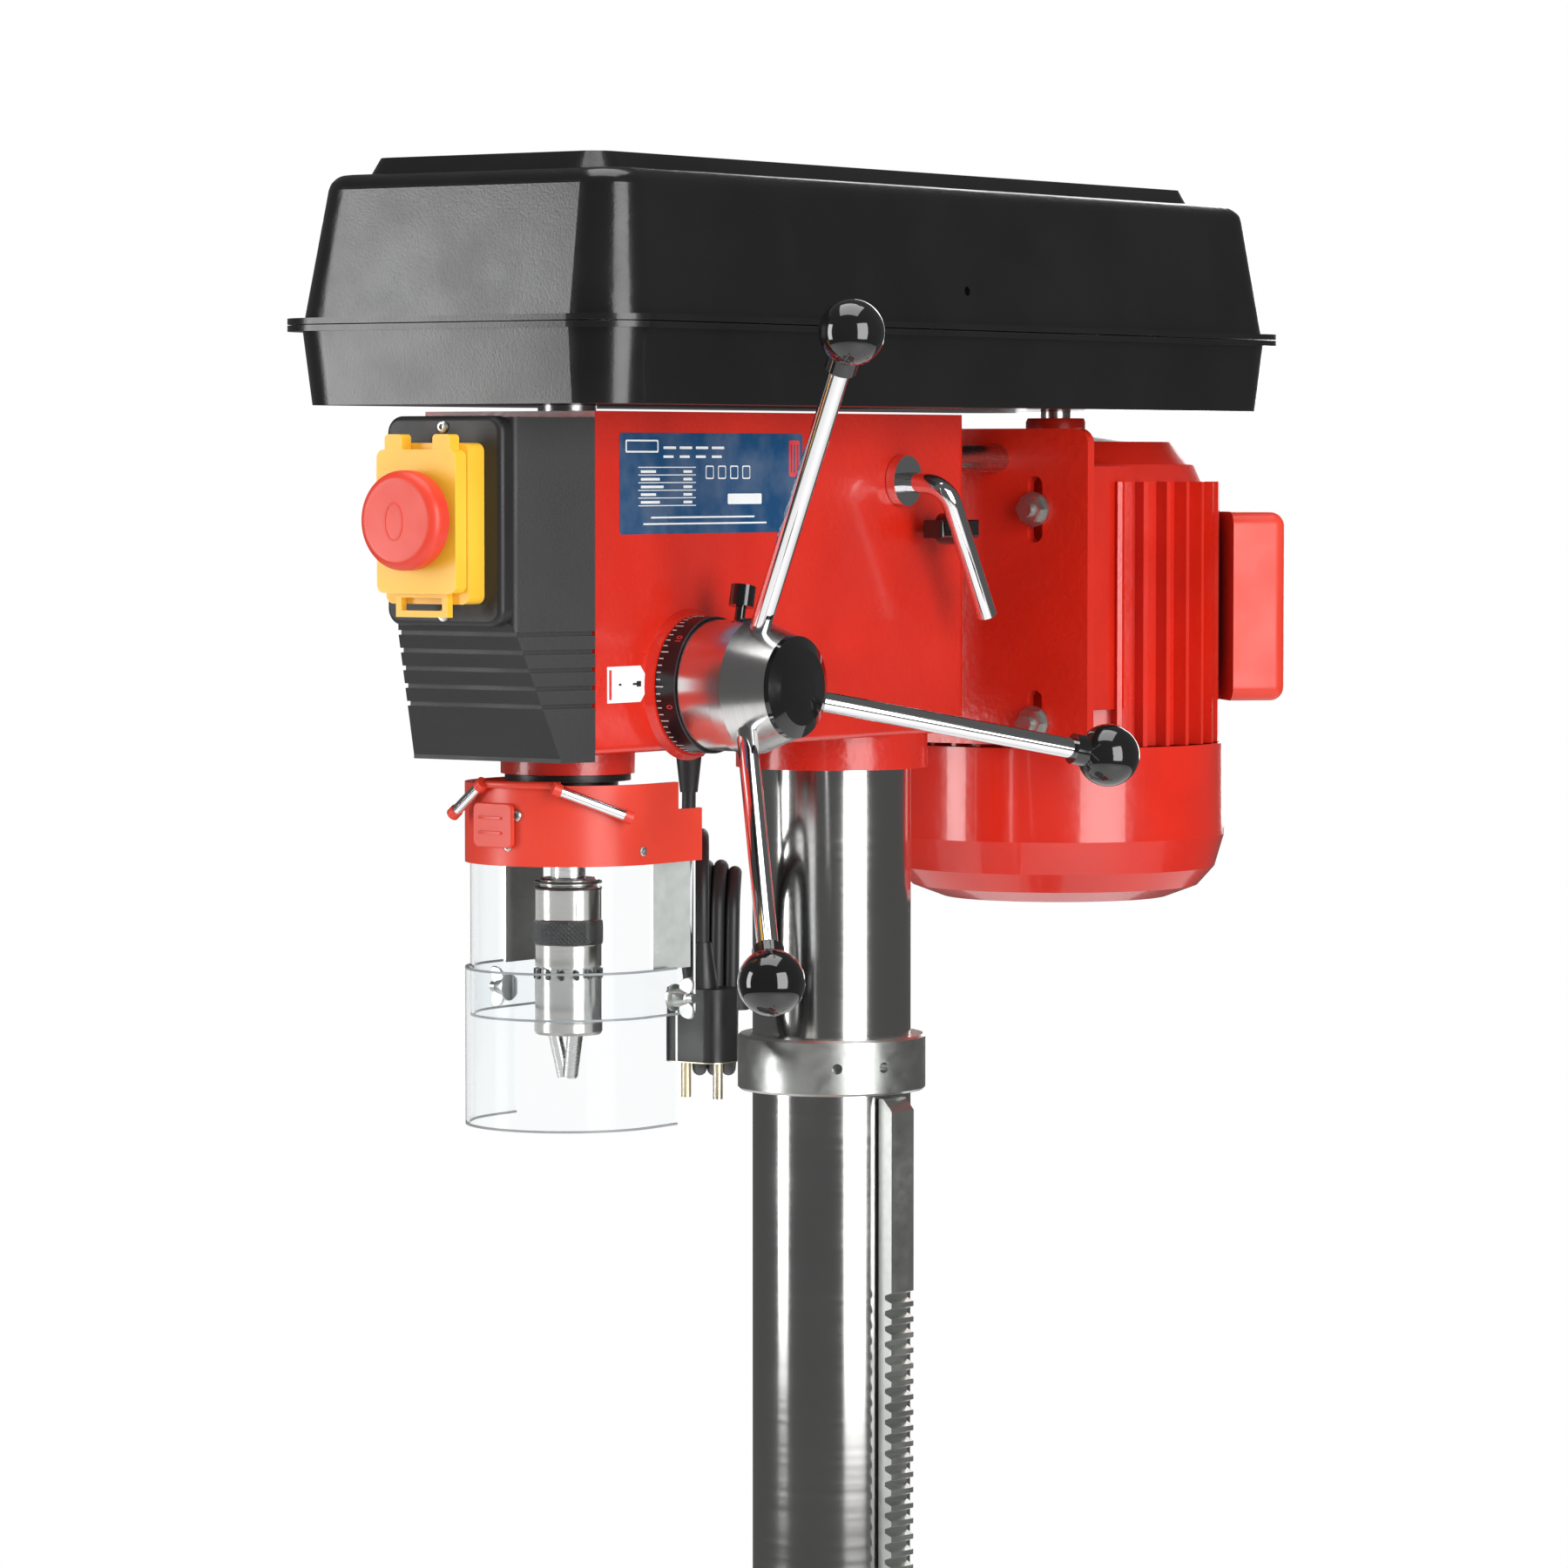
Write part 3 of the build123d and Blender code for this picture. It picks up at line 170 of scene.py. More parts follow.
def turned(profile, centre, axis, steps=32):
    """A turned shape: centre + radius (cos a first + sin a second) + height axis, for each profile pair."""
    profile, centre, axis = np.asarray(profile, float), np.asarray(centre, float), unit(axis)
    first, second = across_axes(axis)
    angle = np.linspace(0, 2 * math.pi, steps, endpoint=False)[:, None]
    ring = np.cos(angle) * first + np.sin(angle) * second
    points = centre + profile[:, 0, None, None] * ring + profile[:, 1, None, None] * axis
    return points.reshape(-1, 3), grid_faces(len(profile), steps)


def rod(path, radius, normal, sides=16):
    """A round bar: path + radius (cos a normal + sin a side), its ends drawn to a point, for a flat path."""
    path = np.asarray(path, float)
    path = np.concatenate([path[:1], path, path[-1:]])
    radii = np.full(len(path), float(radius))
    radii[[0, -1]] = 0
    along = np.gradient(path, axis=0)
    along[[0, -1]] = along[[1, -2]]
    along /= np.linalg.norm(along, axis=1, keepdims=True)
    side = np.cross(along, unit(normal))
    angle = np.linspace(0, 2 * math.pi, sides, endpoint=False)[None, :, None]
    ring = np.cos(angle) * unit(normal) + np.sin(angle) * side[:, None]
    return (path[:, None] + radii[:, None, None] * ring).reshape(-1, 3), grid_faces(len(path), sides)


def corner_outline(width, height, radius, steps=6):
    """A rectangle with quarter circles for corners, as points round it in order."""
    angle = np.linspace(0, math.pi / 2, steps)
    start = np.arange(4)[:, None] * math.pi / 2
    x = np.sign(np.cos(start + math.pi / 4)) * (width / 2 - radius) + radius * np.cos(start + angle)
    y = np.sign(np.sin(start + math.pi / 4)) * (height / 2 - radius) + radius * np.sin(start + angle)
    return np.stack([x.ravel(), y.ravel()], axis=1)


def moulded(outline, levels, centre, right, up):
    """A flat moulding: the outline times a share, at a depth along right x up, closed at both middles."""
    outline, centre = np.asarray(outline, float), np.asarray(centre, float)
    right, up = unit(right), unit(up)
    levels = np.array([(0, levels[0][1]), *levels, (0, levels[-1][1])], float)
    flat = outline[:, :1] * right + outline[:, 1:] * up
    points = centre + levels[:, 0, None, None] * flat + levels[:, 1, None, None] * np.cross(right, up)
    return points.reshape(-1, 3), grid_faces(len(levels), len(outline))


def add_piece(name, body, shapes, material=None, inks=None, smooth=30):
    """One object from several shapes in millimetres, its place in its mesh, merged and facing outwards."""
    starts = np.cumsum([0] + [len(points) for points, faces in shapes])
    points = np.concatenate([points for points, faces in shapes]) * MM
    faces = np.concatenate([faces + start for (points_, faces), start in zip(shapes, starts)])
    mesh = bpy.data.meshes.new(name)
    mesh.from_pydata(points.tolist(), [], faces.tolist())
    if inks is not None:
        colours = np.concatenate([np.tile([*ink, 1.0], (len(p), 1)) for ink, (p, f) in zip(inks, shapes)])
        mesh.color_attributes.new("ink", "FLOAT_COLOR", "POINT").data.foreach_set("color", colours.ravel())
    work = bmesh.new()
    work.from_mesh(mesh)
    bmesh.ops.remove_doubles(work, verts=work.verts, dist=1e-6)
    bmesh.ops.dissolve_degenerate(work, edges=work.edges, dist=1e-7)
    bmesh.ops.recalc_face_normals(work, faces=work.faces)
    work.to_mesh(mesh)
    work.free()
    mesh.polygons.foreach_set("use_smooth", np.ones(len(mesh.polygons), bool))
    mesh.set_sharp_from_angle(angle=math.radians(smooth))
    made = bpy.data.objects.new(name, mesh)
    scene.collection.objects.link(made)
    if material:
        mesh.materials.append(material)
    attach(made, body)
    return made

# %% [markdown]
# Finishes share four effects, and each effect is one node group with named sockets: grain is the fine
# orange peel of paint or the texture of a mould, blotch is slow unevenness, streak is the trace of a
# grinding belt, and the edge group finds edges by comparing a rounded normal with the true one; the paler
# colour it brings to edges is partly wear and partly a painted highlight. A group gives out a value, and
# every material places it with its own numbers.
# %% Shader effects
def add_node(tree, kind, inputs=None, **settings):
    """A node with its settings, each input given as a value or as the socket that feeds it."""
    made = tree.nodes.new("ShaderNode" + kind)
    for name, value in settings.items():
        setattr(made, name, value)
    for name, value in (inputs or {}).items():
        if isinstance(value, bpy.types.NodeSocket):
            tree.links.new(value, made.inputs[name])
        else:
            made.inputs[name].default_value = value
    return made


def new_group(name, inputs, output):
    """An empty node group with number or vector inputs and one number out."""
    tree = bpy.data.node_groups.new(name, "ShaderNodeTree")
    for label, value in inputs.items():
        kind = "NodeSocketVector" if isinstance(value, tuple) else "NodeSocketFloat"
        tree.interface.new_socket(label, in_out="INPUT", socket_type=kind).default_value = value
    tree.interface.new_socket(output, in_out="OUTPUT", socket_type="NodeSocketFloat")
    source = tree.nodes.new("NodeGroupInput").outputs
    sink = tree.nodes.new("NodeGroupOutput").inputs
    return tree, source, sink, add_node(tree, "TexCoord").outputs["Object"]


def place(tree, group, **values):
    """A group placed in a material with its own values; its only output."""
    made = tree.nodes.new("ShaderNodeGroup")
    made.node_tree = group
    for name, value in values.items():
        made.inputs[name].default_value = value
    return made.outputs[0]


grain, source, sink, at = new_group("surface grain", {"Scale": 900.0, "Detail": 1.0}, "Height")
noise = add_node(grain, "TexNoise", {"Vector": at, "Scale": source["Scale"], "Detail": source["Detail"]})
grain.links.new(noise.outputs[0], sink["Height"])

blotch, source, sink, at = new_group("slow blotch", {"Scale": 12.0, "Low": 0.0, "High": 1.0}, "Value")
noise = add_node(blotch, "TexNoise", {"Vector": at, "Scale": source["Scale"], "Detail": 4.0})
spread = add_node(blotch, "MapRange", {
    "Value": noise.outputs[0], "From Min": 0.36, "From Max": 0.64, "To Min": source["Low"],
    "To Max": source["High"],
})
blotch.links.new(spread.outputs[0], sink["Value"])

streak, source, sink, at = new_group("grinding streak", {"Stretch": (8.0, 8.0, 900.0)}, "Value")
squeezed = add_node(streak, "Mapping", {"Vector": at, "Scale": source["Stretch"]})
noise = add_node(streak, "TexNoise", {"Vector": squeezed.outputs[0], "Scale": 1.0, "Detail": 3.0})
streak.links.new(noise.outputs[0], sink["Value"])

# The edge mask below lightens edges in the materials: partly paint worn thin there, partly a painted
# highlight along the edges.
wear_and_painted_highlight, source, sink, at = new_group("edge wear", {"Width": 0.0012, "Amount": 3.0}, "Mask")
rounded = add_node(wear_and_painted_highlight, "Bevel", {"Radius": source["Width"]}, samples=4)
flat = add_node(wear_and_painted_highlight, "NewGeometry")
alike = add_node(
    wear_and_painted_highlight, "VectorMath", {0: rounded.outputs[0], 1: flat.outputs["Normal"]}, operation="DOT_PRODUCT")
edge = add_node(wear_and_painted_highlight, "Math", {0: 1.0, 1: alike.outputs["Value"]}, operation="SUBTRACT")
patchy = add_node(wear_and_painted_highlight, "TexNoise", {"Vector": at, "Scale": 140.0, "Detail": 3.0})
broken = add_node(wear_and_painted_highlight, "Math", {0: edge.outputs[0], 1: patchy.outputs[0]}, operation="MULTIPLY")
strong = add_node(
    wear_and_painted_highlight, "Math", {0: broken.outputs[0], 1: source["Amount"]}, operation="MULTIPLY", use_clamp=True)
wear_and_painted_highlight.links.new(strong.outputs[0], sink["Mask"])
print("effects:", [group.name for group in bpy.data.node_groups])

# %% [markdown]
# Two families cover nearly the whole press. A coated finish is paint or moulded plastic: a colour that
# drifts a little, edges painted paler, partly as worn paint and partly as a painted highlight, and a fine
# bump. A bare finish is metal, whose colour and roughness follow its streaks. Both keep their constant
# values on the shader itself.
# %% Material families
def new_finish(name, shader_values):
    """A material with a Principled shader and its constant values."""
    material = bpy.data.materials.new(name)
    material.use_nodes = True
    tree = material.node_tree
    tree.nodes.clear()
    shader = add_node(tree, "BsdfPrincipled", shader_values)
    add_node(tree, "OutputMaterial", {"Surface": shader.outputs[0]})
    return material, tree, shader


def mixed(tree, factor, first, second):
    """One colour turning into another by a factor from 0 to 1."""
    return add_node(tree, "Mix", {0: factor, 6: (*first, 1), 7: (*second, 1)}, data_type="RGBA").outputs[2]


def add_bump(tree, shader, height, strength, distance):
    """A height's slope on the shader's normal; distance is the depth in metres."""
    bump = add_node(tree, "Bump", {"Height": height, "Strength": strength, "Distance": distance})
    tree.links.new(bump.outputs[0], shader.inputs["Normal"])


def coated(name, colour, shade, worn_and_highlighted_edge_colour, rough, grain_scale, depth, wear_and_highlight_amount=1.5, **extra):
    """Paint or plastic: colour drifts to shade, and edges turn to a paler colour, partly worn paint and
    partly a painted highlight, over a fine grain.
    """
    values = {key.replace("_", " "): value for key, value in extra.items()}
    material, tree, shader = new_finish(name, values)
    drift = mixed(tree, place(tree, blotch, Scale=16.0, Low=0.0, High=1.0), colour, shade)
    # Edges are mixed towards a paler colour: partly wear, partly a painted highlight.
    edges = add_node(tree, "Mix", {
        0: place(tree, wear_and_painted_highlight, Amount=wear_and_highlight_amount), 6: drift, 7: (*worn_and_highlighted_edge_colour, 1)}, data_type="RGBA")
    tree.links.new(edges.outputs[2], shader.inputs["Base Color"])
    tree.links.new(place(tree, blotch, Scale=34.0, Low=rough[0], High=rough[1]), shader.inputs["Roughness"])
    add_bump(tree, shader, place(tree, grain, Scale=grain_scale), 0.6, depth)
    return material


def bare(name, colour, shade, rough, stretch, depth=0.00001, **extra):
    """Metal: colour and roughness follow streaks stretched across the way the tool ran."""
    values = {key.replace("_", " "): value for key, value in extra.items()}
    material, tree, shader = new_finish(name, {"Metallic": 1.0, **values})
    lines = place(tree, streak, Stretch=stretch)
    tree.links.new(mixed(tree, lines, colour, shade), shader.inputs["Base Color"])
    stain = place(tree, blotch, Scale=22.0, Low=rough[0], High=rough[1])
    uneven = add_node(tree, "Math", {0: stain, 1: lines}, operation="MULTIPLY")
    added = add_node(tree, "Math", {0: uneven.outputs[0], 1: rough[0]}, operation="ADD")
    tree.links.new(added.outputs[0], shader.inputs["Roughness"])
    add_bump(tree, shader, lines, 0.5, depth)
    return material


# %% [markdown]
# The finishes follow the real press: thick gloss red enamel on the castings, with the slight ripple of
# sprayed paint, a gloss black case, a satin black front housing, a ground column, dull zinc on the rack and
# collar, bright chrome on the feed arms, and clear polycarbonate round the chuck.
# %% Finishes
# PALE_RED_WEAR_AND_HIGHLIGHT is the red castings' edge colour: partly worn paint, partly a painted highlight.
RED, DEEP_RED, PALE_RED_WEAR_AND_HIGHLIGHT = (0.66, 0.020, 0.0075), (0.58, 0.016, 0.006), (0.74, 0.05, 0.025)
finishes = {
    "red_paint_iron": coated("red_enamel_casting", RED, DEEP_RED, PALE_RED_WEAR_AND_HIGHLIGHT, (0.26, 0.36), 260.0, 0.0005,
                             0.5, Coat_Weight=0.5, Coat_Roughness=0.12),
    "red_paint_sheet": coated("red_enamel_sheet", RED, DEEP_RED, PALE_RED_WEAR_AND_HIGHLIGHT, (0.18, 0.26), 180.0, 0.0002,
                              0.5, Coat_Weight=0.6, Coat_Roughness=0.06),
    "motor_paint": coated("red_enamel_motor", RED, DEEP_RED, PALE_RED_WEAR_AND_HIGHLIGHT, (0.26, 0.38), 320.0, 0.0003,
                          0.6, Coat_Weight=0.5, Coat_Roughness=0.10),
    "red_plastic": coated("red_moulding", (0.74, 0.052, 0.026), (0.68, 0.042, 0.020), (0.82, 0.12, 0.07),
                          (0.30, 0.42), 1500.0, 0.00006, 0.7),
    "black_plastic": coated("black_case_moulding", (0.0065, 0.0065, 0.007), (0.009, 0.009, 0.0095),
                            (0.04, 0.04, 0.04), (0.20, 0.27), 900.0, 0.00009, 0.5, Coat_Weight=0.3,
                            Coat_Roughness=0.10),
    "housing_plastic": coated("black_housing_moulding", (0.014, 0.014, 0.0145), (0.018, 0.018, 0.0185),
                              (0.06, 0.06, 0.06), (0.40, 0.48), 1500.0, 0.00010, 0.8),
    "housing_steel": coated("black_painted_steel", (0.012, 0.012, 0.012), (0.018, 0.018, 0.018),
                            (0.08, 0.08, 0.08), (0.32, 0.44), 700.0, 0.0001),
    "yellow_plastic": coated("yellow_moulding", (0.95, 0.56, 0.045), (0.90, 0.50, 0.035), (1.0, 0.75, 0.25),
                             (0.30, 0.40), 1400.0, 0.00008),
    "green_plastic": coated("green_moulding", (0.03, 0.40, 0.08), (0.025, 0.34, 0.07), (0.15, 0.6, 0.25),
                            (0.30, 0.40), 1400.0, 0.00006),
    "black_knob": coated("black_phenolic", (0.006, 0.006, 0.0065), (0.009, 0.009, 0.009), (0.02, 0.02, 0.02),
                         (0.07, 0.12), 240.0, 0.00004, 0.2, Coat_Weight=0.8, Coat_Roughness=0.03),
    "dial_black": coated("black_dial_enamel", (0.010, 0.010, 0.012), (0.014, 0.014, 0.016), (0.2, 0.2, 0.2),
                         (0.28, 0.36), 900.0, 0.00005),
    "belt_rubber": coated("belt_rubber", (0.014, 0.014, 0.014), (0.03, 0.028, 0.026), (0.06, 0.06, 0.06),
                          (0.70, 0.85), 1800.0, 0.0002),
    "cord_rubber": coated("lead_rubber", (0.011, 0.011, 0.012), (0.018, 0.018, 0.019), (0.03, 0.03, 0.03),
                          (0.40, 0.55), 1500.0, 0.0001, 0.3),
    "column_steel": bare("ground_column_steel", (0.66, 0.655, 0.645), (0.60, 0.595, 0.585), (0.09, 0.14),
                         (6.0, 6.0, 300.0), 0.0000012),
    "zinc_steel": bare("zinc_plate", (0.72, 0.735, 0.71), (0.50, 0.515, 0.49), (0.20, 0.36),
                       (120.0, 120.0, 160.0), 0.00006),
    "chrome": bare("chrome_plate", (0.90, 0.90, 0.91), (0.84, 0.84, 0.85), (0.035, 0.06),
                   (40.0, 40.0, 40.0), 0.000005),
    "machined_steel": bare("machined_steel", (0.66, 0.655, 0.645), (0.50, 0.50, 0.49), (0.16, 0.28),
                           (60.0, 60.0, 1400.0), 0.00002),
    "chuck_steel": bare("ground_chuck_steel", (0.50, 0.485, 0.465), (0.38, 0.37, 0.355), (0.12, 0.20),
                        (40.0, 40.0, 900.0), 0.000006),
    "pulley_alloy": bare("turned_alloy", (0.80, 0.80, 0.81), (0.66, 0.66, 0.67), (0.18, 0.30),
                         (60.0, 60.0, 2400.0), 0.00003),
    "cast_iron": bare("planed_iron", (0.46, 0.455, 0.45), (0.36, 0.355, 0.35), (0.26, 0.36),
                      (1200.0, 30.0, 30.0), 0.00003),
}

# The index is close to that of air, because a thin bent sheet hardly moves what is seen through it.
material, tree, shader = new_finish("clear_polycarbonate", {
    "Base Color": (0.96, 0.975, 0.98, 1), "Transmission Weight": 1.0, "IOR": 1.12, "Metallic": 0.0})
tree.links.new(place(tree, blotch, Scale=30.0, Low=0.015, High=0.05), shader.inputs["Roughness"])
add_bump(tree, shader, place(tree, grain, Scale=60.0), 0.15, 0.0002)
finishes["clear_guard"] = material

material, tree, shader = new_finish("printed_ink", {"Coat Weight": 0.3, "Coat Roughness": 0.1})
ink = add_node(tree, "Attribute", attribute_name="ink")
faded = add_node(tree, "Mix", {
    0: place(tree, blotch, Scale=50.0, Low=0.0, High=0.12), 6: ink.outputs["Color"], 7: (0.5, 0.5, 0.5, 1),
}, data_type="RGBA")
tree.links.new(faded.outputs[2], shader.inputs["Base Color"])
tree.links.new(place(tree, blotch, Scale=40.0, Low=0.25, High=0.4), shader.inputs["Roughness"])
printed = material

sawn_edge = coated("sawn_sheet_edge", (0.30, 0.32, 0.33), (0.24, 0.26, 0.27), (0.4, 0.42, 0.43),
                   (0.35, 0.5), 900.0, 0.00005, 0.5)
own_finish = {"feed_hub": bare("satin_hub", (0.80, 0.79, 0.78), (0.66, 0.655, 0.65), (0.15, 0.20),
                               (1500.0, 8.0, 8.0), 0.000004)}

PIN_TOP = 1.1765
material, tree, shader = new_finish("plug_and_pins", {})
parts = add_node(tree, "SeparateXYZ", {0: add_node(tree, "TexCoord").outputs["Object"]})
pin = add_node(tree, "Math", {0: parts.outputs[2], 1: PIN_TOP}, operation="LESS_THAN").outputs[0]
tree.links.new(mixed(tree, pin, (0.012, 0.012, 0.013), (0.78, 0.70, 0.50)), shader.inputs["Base Color"])
tree.links.new(pin, shader.inputs["Metallic"])
tree.links.new(place(tree, blotch, Scale=60.0, Low=0.3, High=0.45), shader.inputs["Roughness"])
add_bump(tree, shader, place(tree, grain, Scale=1500.0), 0.4, 0.00008)
own_finish["mains_plug"] = material

slots = {row["node"]: row["material_slot"] for row in frame["record"]["subparts"]}
for node, body_object in frame["nodes"].items():
    body_object.data.materials.clear()
    body_object.data.materials.append(own_finish.get(node, finishes[slots[node]]))
lead.data.materials.append(finishes["cord_rubber"])
print("finishes:", len(finishes) + 1, "on", len(slots), "nodes")

# %% [markdown]
# The two clear shields are bent from flat sheet: a half round in front of the chuck with straight legs
# behind. A frame solid has flat facets, which glass shows badly, so each is replaced by a section carried
# along a fine path. The path's points and outward directions are arrays, and the section is the sheet's
# four corners. A second, slightly larger section at top and bottom is the sawn edge, which shows as a thin
# grey line.
# %% Clear shields
SPINDLE = (0.0, -221.0)
SHEET_WALL = 1.6
RIM_PROUD = 0.06


def shield_path(radius, rear, steps=64):
    """Leg, half circle and leg in plan: points, and the direction that faces out at each."""
    angle = np.linspace(0, -math.pi, steps)
    arc = np.stack([np.cos(angle), np.sin(angle)], axis=1)
    points = np.array(SPINDLE) + radius * arc
    start, end = points[:1].copy(), points[-1:].copy()
    start[0, 1] = end[0, 1] = rear
    return np.concatenate([start, points, end]), np.concatenate([arc[:1], arc, arc[-1:]])


def carried(points, outward, section):
    """Section corners (out, height) at each path point: point + out x outward, at that height; closed."""
    section = np.asarray(section, float)
    flat = points[:, None] + section[None, :, :1] * outward[:, None]
    tall = np.broadcast_to(section[None, :, 1:], (*flat.shape[:2], 1))
    shape = np.concatenate([flat, tall], axis=2)
    count = len(points) * len(section)
    ends = np.array([[0, 1, 2, 3], [count - 1, count - 2, count - 3, count - 4]])
    return shape.reshape(-1, 3), np.concatenate([grid_faces(len(points), len(section)), ends])


def add_shield(name, body, node):
    """A clear shield in the place of its frame solid, sized from that solid's own box."""
    low, high = (np.array(corner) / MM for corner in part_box(node))
    points, outward = shield_path(high[0], high[1])
    section = [(0, low[2]), (0, high[2]), (-SHEET_WALL, high[2]), (-SHEET_WALL, low[2])]
    made = add_piece(name, body, [carried(points, outward, section)], finishes["clear_guard"])
    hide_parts(node)
    near, far = RIM_PROUD, -SHEET_WALL - RIM_PROUD
    rims = [carried(points, outward, [(near, z), (near, z + 1.0), (far, z + 1.0), (far, z)])
            for z in (low[2] - 0.02, high[2] - 0.98)]
    add_piece(name + "_rims", body, rims, sawn_edge)
    return high[0]


UPPER_R = add_shield("upper_shield", "guard", "guard_shield_upper")
LOWER_R = add_shield("lower_shield", "lower_guard", "guard_shield_lower")
print("shields: outer radius", round(UPPER_R, 1), "and", round(LOWER_R, 1), "mm")

# %% [markdown]
# The guard's hood carries two bright spring rods with red tips, a red wire between them, a raised pad with
# its screws, and a wing nut at each side that holds the lower shield at its height. Screws are one turned
# profile with a socket, and each wing is a small rounded plate that leans away from the boss.
# %% Guard fittings
HOOD_LOW, HOOD_HIGH = (np.array(corner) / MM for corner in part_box("guard_hood"))
HOOD_R = HOOD_HIGH[0]


def hood_point(turn, radius, height):
    """A point by the hood: turn degrees round the spindle from straight ahead, at a radius and a height."""
    around = math.radians(turn)
    return np.array([SPINDLE[0] + radius * math.sin(around), SPINDLE[1] - radius * math.cos(around), height])


def screw_head(centre, axis, radius, tall=None):
    """A button head: a domed rim round a socket."""
    tall = tall or radius * 0.55
    profile = [
        (0, tall * 0.35), (radius * 0.38, tall * 0.35), (radius * 0.42, tall), (radius * 0.72, tall * 0.94),
        (radius * 0.94, tall * 0.6), (radius, 0), (0, 0),
    ]
    return turned(profile, centre, axis, 20)


def straight_rod(start, end, radius):
    """A straight round bar between two points."""
    start, end = np.asarray(start, float), np.asarray(end, float)
    return rod(np.linspace(start, end, 4), radius, across_axes(end - start)[0])


def bead(centre, half_width, half_height, right, up, radius, steps=48):
    """A round bead on an oval: centre + a cos t right + b sin t up, thick as its radius."""
    turn = np.linspace(0, 2 * math.pi, steps + 1)[:, None]
    right, up = unit(right), unit(up)
    path = np.asarray(centre, float) + half_width * np.cos(turn) * right + half_height * np.sin(turn) * up
    out = half_height * np.cos(turn) * right + half_width * np.sin(turn) * up
    out /= np.linalg.norm(out, axis=1, keepdims=True)
    angle = np.linspace(0, 2 * math.pi, 10, endpoint=False)[None, :, None]
    ring = np.cos(angle) * out[:, None] + np.sin(angle) * np.cross(right, up)
    return (path[:, None] + radius * ring).reshape(-1, 3), grid_faces(len(path), 10)


ROD_R = 2.7
rods = [
    (hood_point(33, HOOD_R + 5.2, HOOD_HIGH[2] - 2), hood_point(66.5, HOOD_R + 5.2, HOOD_HIGH[2] - 14)),
    (hood_point(-15.5, HOOD_R + 3.4, HOOD_HIGH[2] - 1), hood_point(-33, HOOD_R + 7, HOOD_HIGH[2] - 13)),
]
add_piece("guard_spring_rods", "guard", [straight_rod(a, b, ROD_R) for a, b in rods],
          finishes["chrome"])
tips = []
for first, last in rods:
    run = unit(last - first)
    tips.append(straight_rod(last - 0.5 * run, last + 3.5 * run, ROD_R + 0.5))
    tips.append(straight_rod(first - 3.5 * run, first + 0.5 * run, ROD_R + 0.5))
bend = np.array([hood_point(turn, HOOD_R + 1.5, HOOD_HIGH[2] + 0.3) for turn in np.linspace(-14, 33, 12)])
tips.append(rod(bend, 1.8, (0, 0, 1)))
PAD_TURN = math.radians(8)
pad_place = hood_point(-8, HOOD_R - 0.4, HOOD_LOW[2] + 19)
pad_right = np.array([math.cos(PAD_TURN), -math.sin(PAD_TURN), 0])
tips.append(moulded(corner_outline(26, 21, 3), [(1, 0), (1, 1.2), (0.95, 1.8)], pad_place, pad_right,
                    (0, 0, 1)))
for drop in (-3.5, 3.5):
    tips.append(moulded(corner_outline(15, 1.4, 0.6), [(1, 0), (1, 2.3), (0.9, 2.5)],
                        pad_place + (-1, 0, drop), pad_right, (0, 0, 1)))
add_piece("guard_hood_fittings", "guard", tips, finishes["red_plastic"])
# Each screw: degrees round the hood, height above its lower edge, head radius.
screws = [(7.5, 24, 3.0), (2, 9, 2.2), (83, 6.5, 2.4), (-83, 6.5, 2.4)]
add_piece("guard_screws", "guard", [
    screw_head(hood_point(turn, HOOD_R - 0.3, HOOD_LOW[2] + above),
               hood_point(turn, 1, 0) - hood_point(0, 0, 0), size)
    for turn, above, size in screws], finishes["zinc_steel"])


def wing_nut(centre, axis, spread=7.5):
    """A threaded stud, a tapered boss and two wings that lean outwards."""
    centre, axis = np.asarray(centre, float), unit(axis)
    shapes = [
        turned([(0, 0), (4.4, 0), (4.4, 2), (3.0, 7), (2.3, 7.4), (2.3, 11), (0, 11)], centre, axis, 20),
        turned([(0, -1.2), (6.5, -1.2), (6.5, 0), (0, 0)], centre, axis, 24),
    ]
    for side in (-1, 1):
        place_at = centre + axis * 6.6 + np.array([0, 0, side * spread * 0.72])
        outline = corner_outline(8.4, 8.4, 3.4)
        shapes.append(moulded(outline, [(0.9, -0.9), (1, -0.5), (1, 0.5), (0.9, 0.9)], place_at,
                              unit(axis + np.array([0, 0, side * 0.25])), np.array([0, 0, 1.0])))
    return shapes


NUT_Y, NUT_Z = -204.0, 1214.0
for name, side in (("wing_nut_right", 1), ("wing_nut_left", -1)):
    add_piece(name, "guard", wing_nut((side * (LOWER_R + 1.6), NUT_Y, NUT_Z), (side, 0, 0)),
              finishes["zinc_steel"])
print("guard fittings:", len(tips), "red shapes and", len(screws), "screws")

# %% [markdown]
# A chuck is turned from bar, and its band is knurled so that a hand can hold it. The knurl is two families
# of helical ridges that cross, so a point's radius follows the smaller of two triangle waves, one leaning
# each way. The edges of the band are left plain, as a knurling wheel leaves them. Two dark rings lie above
# the band, and dark pads round the sleeve's top are painted shade between the teeth the chuck key turns.
# %% Chuck knurl
KNURL_LOW, KNURL_HIGH, KNURL_R = 1238.5, 1250.0, 16.25
KNURL_RIDGES = 44


